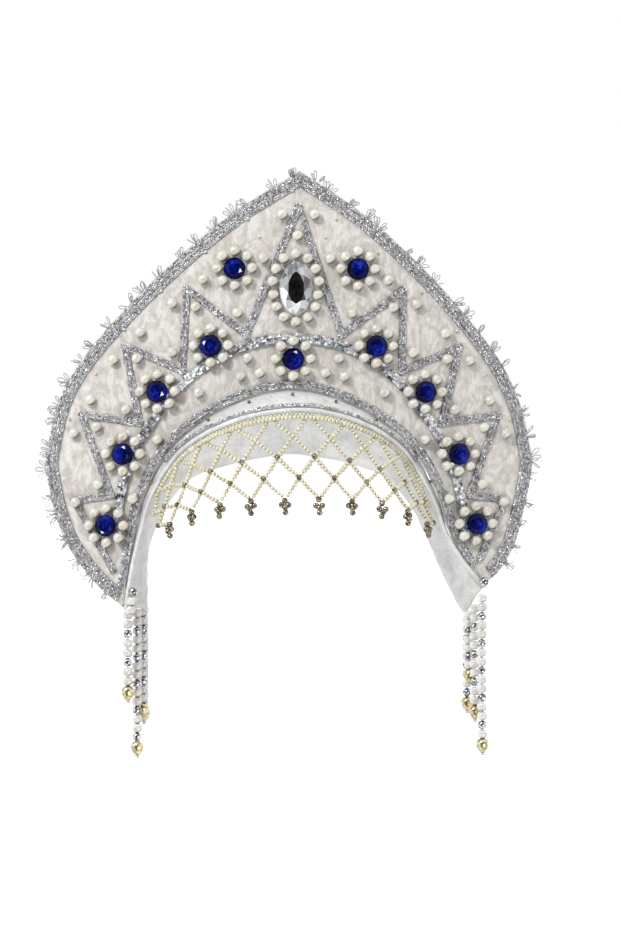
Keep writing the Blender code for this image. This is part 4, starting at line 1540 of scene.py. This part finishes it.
def build_band_braid(band, looks):
    """The braid on the band's front strip, along its front edge."""
    rise = BAND_THICKNESS / 2 + SEAT_GAP
    centres = []
    acrosses = []
    for i in range(len(band.line)):
        front, run = band.strip_slope(i)
        length = math.hypot(front, run)
        if length < BAND_BRAID_WIDTH + BRAID_THICKNESS:
            continue
        edge = band.front_depth(i)
        up = rise * length / run
        along = BAND_BRAID_WIDTH / length
        low = band.at(i, front - up, edge)
        high = band.at(i, front * (1 - along) - up, edge + run * along)
        centres.append(low.lerp(high, 0.5))
        acrosses.append((high - low).normalized())
    count = int(line_length(centres) / MM) + 1
    places = resample(centres, count)
    across = unit(resample(centres, count, acrosses))
    along = unit(np.gradient(places, axis=0))
    out = unit(np.cross(along, across))
    rail = (places, along, across, out)
    ground = Gather()
    threads = Gather()
    sizes = (BAND_BRAID_WIDTH, BRAID_THICKNESS, BAND_BRAID_RIDGES)
    random = random_for("band_braid")
    plait(ground, threads, rail, *sizes, random, grain("band"), BRAID_PITCH)
    ground.make("band_braid_ground", looks["ground"], ["band_braid"])
    threads.make(
        "band_braid_threads", looks["silver"], ["band_braid"], smooth=False
    )


class Net:
    """The places of the net's crossings, as in the part's source."""

    def __init__(self, band):
        under = BAND_THICKNESS / 2 + 2 * SEAT_GAP + NET_WIRE / 2
        self.edge = []
        for i in range(len(band.line)):
            if band.shares[i] <= NET_ARCH_SHARE:
                front = station_values(band.shares[i])[0]
                self.edge.append(band.at(i, front + under, band.front_depth(i) + NET_WIRE / 2))
        self.total = line_length(self.edge)
        self.middle = self.top(0.0)
        self.half_width = self.top(1.0).x * NET_FOOT_SHARE

    def top(self, share):
        return point_at(self.edge, self.total * (share + 1) / 2)

    def point(self, share, row):
        x = self.half_width * math.sin(NET_SPREAD * share) / math.sin(NET_SPREAD)
        depth = self.middle.y + brow_depth(x) - brow_depth(0.0)
        fall = NET_HEIGHT + NET_END_DROP * abs(share) ** 3
        low = Vector((x + NET_SWAY, depth, self.middle.z - fall))
        return self.top(share).lerp(low, row / NET_ROWS)

    def out(self, share):
        turn = NET_SPREAD * share
        return np.array([math.sin(turn), -math.cos(turn), 0.0])


def string_of(gather, shape, points, pitch, out, random, ends=True):
    """Beads threaded along a path at a pitch."""
    length = line_length(points)
    count = max(int(round(length / pitch)), 2) + 1
    places = resample(points, count)
    along = unit(np.gradient(places, axis=0))
    if not ends:
        places, along = places[1:-1], along[1:-1]
    tints = random.uniform(0.0, 1.0, len(places))
    out = np.broadcast_to(out, places.shape) + random.normal(0.0, 0.05, places.shape)
    gather.stamp(shape, places, axes(along, out), random.uniform(0.92, 1.08, len(places)), tints)


def build_net(net, looks):
    """The net of seed beads, its bronze crossings, and a drop of bronze beads at each point."""
    random = random_for("net")
    seeds = Gather()
    bronze = Gather()
    seed, crossing, drop_bead = bead_of("net"), bead_of("crossing"), bead_of("drop")

    def spot(row, column):
        return net.point(column / NET_COLUMNS - 1.0, row)

    for lane in (0.0, 1.0):
        path = []
        for k in range(81):
            share = (k / 40 - 1.0) * 0.92
            point = net.point(share, 0.13 * lane)
            path.append(point + Vector(net.out(share)) * lane * 0.9 * MM)
        string_of(seeds, seed, path, NET_EDGE_PITCH, np.array([0.0, -1.0, 0.0]), random)
    for row in range(NET_ROWS + 1):
        for column in range((NET_ROWS - row + 1) % 2, 2 * NET_COLUMNS + 1, 2):
            share = column / NET_COLUMNS - 1.0
            out = net.out(share)
            here = spot(row, column)
            if 0 < row < NET_ROWS:
                shape, target = (crossing, bronze) if row >= 2 else (seed, seeds)
                way = np.array([[math.cos(NET_SPREAD * share), math.sin(NET_SPREAD * share), 0.0]])
                turn = axes(way, out[None])
                target.stamp(shape, np.array([tuple(here)]), turn, 1.1, random.uniform(0, 1))
            if row == NET_ROWS:
                continue
            for step in (-1, 1):
                if not 0 <= column + step <= 2 * NET_COLUMNS:
                    continue
                there = spot(row + 1, column + step)
                middle = (here + there) / 2 - Vector((0.0, 0.0, 0.5 * MM))
                path = [here, (here + middle) / 2, middle, (there + middle) / 2, there]
                string_of(seeds, seed, path, NET_PITCH, out, random, ends=False)
    for column in range(NET_COLUMNS):
        share = (2 * column + 1) / NET_COLUMNS - 1.0
        node = np.array(net.point(share, NET_ROWS))
        turn = NET_SPREAD * share
        side = np.array([math.cos(turn), math.sin(turn), 0.0])
        out = net.out(share)
        for across, down, forward in NET_DROP:
            jitter = random.normal(0.0, 0.2 * MM, 3)
            at = node + side * across * MM + out * forward * MM - np.array([0, 0, down * MM])
            way = random.normal(0.0, 1.0, 3)
            bronze.stamp(drop_bead, (at + jitter)[None], axes(way[None], out[None]), 1.0, 0.5)
    seeds.make("net_seeds", looks["seed"], ["forehead_net"])
    bronze.make("net_bronze_beads", looks["bronze"], ["forehead_net"])


def string_top(band, side, share):
    """Where a string hangs from the band's foot."""
    station = 0 if side < 0 else len(band.line) - 1
    lower_edge = band.row(station, STRIP_STEPS, 2)[STRIP_STEPS:]
    along = line_length(lower_edge) * share
    top = point_at(lower_edge, along)
    beside = [point_at(lower_edge, along + step).z for step in (-STRAND_RADIUS, STRAND_RADIUS)]
    rim = abs(band.inward[station].y) * BAND_THICKNESS / 2
    top.z = min(beside) - rim - SEAT_GAP
    return top


def build_strands(band, looks):
    """The strings: two pearls and a silver bead by turns, with a gold bead at the end."""
    random = random_for("strings")
    pearl = bead(STRAND_RADIUS, STRAND_PEARL_HALF_LENGTH, STRAND_PEARL_HOLE, 20, 12, 0.6)
    silver, stop = bead_of("silver"), bead_of("stop")
    gold = turned_bead([(x * MM, r * MM) for x, r in GOLD_BEAD], GOLD_BEAD_SIDES)
    facing = np.array([0.0, -1.0, 0.0])
    down = axes(np.array([[0.0, 0.0, -1.0]]), facing[None])
    tops = []
    for number, side, share, length in STRANDS:
        top = string_top(band, side, share)
        tops.append(top)
        bottom = top - Vector((0.0, 0.0, length))
        beads = Gather()
        metal = Gather()
        ends = Gather()
        body = length - STRING_END
        count = int(round(body / STRING_PITCH))
        pitch = body / count
        swing = random.uniform(-0.5, 0.5, 2) * MM
        for k in range(count):
            t = (k + 0.5) / count
            bow = math.sin(t * math.pi)
            at = np.array(top) + np.array([swing[0] * bow, swing[1] * bow, -pitch * (k + 0.5)])
            way = np.array([0.0, 0.0, -1.0]) + random.normal(0.0, 0.06, 3)
            turn = axes(way[None], facing[None])
            if k % 3 == 2:
                metal.stamp(silver, at[None], turn, 1.0, 0.8)
            else:
                beads.stamp(pearl, at[None], turn, random.uniform(0.97, 1.03), random.random())
        ends.stamp(gold, np.array([tuple(bottom)]), down, 1.0, 0.5)
        tail = np.array([tuple(bottom - Vector((0.0, 0.0, STOP_DROP)))])
        beads.stamp(stop, tail, down, 1.0, 0.5)
        node = f"bead_strand_{number}"
        beads.make(f"string_{number}_pearls", looks["white_pearl"], [node])
        metal.make(f"string_{number}_silver", looks["steel"], [node])
        ends.make(f"string_{number}_end", looks["gold"], [node])
    first_pearls = Gather()
    first_silver = Gather()
    for side, string, across, heights in FOOT_BEADS:
        first = 0 if side < 0 else len(band.line) - 1
        stations = range(first, first - side * LIP_STATIONS, -side)
        lips = np.array([tuple(band.row(i, STRIP_STEPS, 2)[0]) for i in stations])
        forward = math.sqrt(1.0 - across**2)
        for rank, height in enumerate(heights):
            z = tops[string].z + height * MM
            x, y = (np.interp(z, lips[:, 2], lips[:, k]) for k in (0, 1))
            at = np.array([[x + FOOT_BEAD_REACH * across, y - FOOT_BEAD_REACH * forward, z]])
            if rank:
                first_pearls.stamp(pearl, at, down, 1.0, random.random())
            else:
                first_silver.stamp(silver, at, down, 1.0, 0.8)
    first_pearls.make("first_pearls", looks["white_pearl"])
    first_silver.make("first_silver", looks["steel"])


def build_tiny_beads(looks, band, grid):
    """Single seed beads beside the edge braid and on the white strip under the inner braid."""
    random = random_for("tiny_beads")
    seed = bead_of("tiny")
    for name, rows, look, lift in (
        ("edge_seeds", EDGE_SEEDS, "pearl", 0.8),
        ("gold_seeds", GOLD_SEEDS, "seed", 0.8),
    ):
        gather = Gather()
        for u, w in rows:
            for sign in (1, -1) if u else (1,):
                at = bent(sign * u * MM, w * MM, lift * MM)
                way = random.normal(0.0, 1.0, 3)
                out = crest_out(sign * u * MM)
                gather.stamp(seed, at[None], axes(way[None], out[None]), 1.0, 0.8)
        gather.make(name, looks[look])
    out = grid_out(grid)
    gather = Gather()
    for u, w in STRIP_SEEDS:
        for sign in (1, -1) if u else (1,):
            station = min(range(len(grid)), key=lambda i: abs(band.line[i].x - sign * u * MM))
            facing = out[station, 4]
            at = grid[station, 4] + facing * (BAND_THICKNESS / 2 + 0.8 * MM)
            way = random.normal(0.0, 1.0, 3)
            gather.stamp(seed, at[None], axes(way[None], facing[None]), 1.0, 0.8)
    gather.make("strip_seeds", looks["bronze"])


def build_floor():
    """A pale floor, far wider than the view."""
    look = Look("floor", 0.9)
    grainy = look.noise(6.0, 2.0)
    look.colour(look.ramp(grainy, [(0.3, (0.93, 0.93, 0.93)), (0.7, (0.95, 0.95, 0.95))]))
    look.shader.inputs["Emission Color"].default_value = (1.0, 1.0, 1.0, 1.0)
    look.shader.inputs["Emission Strength"].default_value = FLOOR_GLOW
    low = cad_box[0].z - FLOOR_DROP
    mesh = bpy.data.meshes.new("floor")
    reach = FLOOR_REACH
    mesh.from_pydata(
        [(-reach, -reach, low), (reach, -reach, low), (reach, reach, low), (-reach, reach, low)],
        [],
        [(0, 1, 2, 3)],
    )
    mesh.materials.append(look.material)
    floor = bpy.data.objects.new("floor", mesh)
    bpy.context.scene.collection.objects.link(floor)
    floor.visible_diffuse = False
    floor.visible_glossy = False


def area_light(name, place_at, size, power):
    data = bpy.data.lights.new(name, "AREA")
    data.shape = "DISK"
    data.size = size
    data.energy = power
    made = bpy.data.objects.new(name, data)
    made.location = place_at
    made.rotation_mode = "QUATERNION"
    made.rotation_quaternion = (Vector(LAMP_TARGET) - Vector(place_at)).to_track_quat("-Z", "Y")
    bpy.context.scene.collection.objects.link(made)


def build_light():
    """A light tent that is dark on its open side, and three soft lamps."""
    scene = bpy.context.scene
    scene.view_settings.view_transform = "Standard"
    world = bpy.data.worlds.new("studio")
    scene.world = world
    world.use_nodes = True
    tree = world.node_tree
    soft = tree.nodes["Background"]
    soft.inputs["Color"].default_value = (1.0, 1.0, 1.0, 1.0)
    ways = tree.nodes.new("ShaderNodeTexCoord")
    parts = tree.nodes.new("ShaderNodeSeparateXYZ")
    tent = tree.nodes.new("ShaderNodeMapRange")
    tent.interpolation_type = "SMOOTHSTEP"
    for socket, value in zip(("From Min", "From Max", "To Min", "To Max"), TENT):
        tent.inputs[socket].default_value = value
    tree.links.new(ways.outputs["Generated"], parts.inputs["Vector"])
    tree.links.new(parts.outputs["Y"], tent.inputs["Value"])
    tree.links.new(tent.outputs["Result"], soft.inputs["Strength"])
    seen = tree.nodes.new("ShaderNodeBackground")
    seen.inputs["Color"].default_value = (1.0, 1.0, 1.0, 1.0)
    seen.inputs["Strength"].default_value = 1.0
    path = tree.nodes.new("ShaderNodeLightPath")
    mix = tree.nodes.new("ShaderNodeMixShader")
    tree.links.new(path.outputs["Is Camera Ray"], mix.inputs["Fac"])
    tree.links.new(soft.outputs["Background"], mix.inputs[1])
    tree.links.new(seen.outputs["Background"], mix.inputs[2])
    tree.links.new(mix.outputs["Shader"], tree.nodes["World Output"].inputs["Surface"])
    for lamp in LAMPS:
        area_light(*lamp)


def build_camera():
    """The photograph's view: a long lens, a little to the left of the middle."""
    data = bpy.data.cameras.new("camera")
    data.sensor_width = CAMERA_SENSOR
    data.lens = data.sensor_width * CAMERA_DISTANCE / CAMERA_VIEW_HEIGHT
    camera = bpy.data.objects.new("camera", data)
    bpy.context.scene.collection.objects.link(camera)
    back = Vector((math.sin(CAMERA_AZIMUTH), -math.cos(CAMERA_AZIMUTH), 0.0))
    camera.location = Vector(CAMERA_TARGET) + back * CAMERA_DISTANCE
    camera.rotation_mode = "QUATERNION"
    camera.rotation_quaternion = (-back).to_track_quat("-Z", "Y")
    bpy.context.scene.camera = camera


def zigzag_legs(line, width):
    """The straight legs of the zigzag, each a little longer than from corner to corner."""
    legs = []
    for a, b in zip(line, line[1:]):
        way = (b - a).normalized() * width * LEG_OVERRUN
        legs.append([a - way, b + way])
    return legs


def main():
    looks = make_looks()
    build_camera()
    build_light()
    build_floor()
    braids = braid_lines()
    spots = pearl_places()
    build_cloth(looks, braids, spots)
    build_lining(looks)
    build_pearls(looks, braids, spots)
    for name in BRAID_RIDGES:
        line, width, thickness = braids[name]
        legs = zigzag_legs(line, width) if name == "zigzag_braid" else [line]
        crest_braid(name, legs, width, thickness, looks)
    build_sequins(looks, braids)
    build_stones(looks, braids)
    build_picots(looks)
    band = Band()
    grid = build_band(band, looks)
    build_tiny_beads(looks, band, grid)
    build_band_braid(band, looks)
    build_net(Net(band), looks)
    build_strands(band, looks)


main()
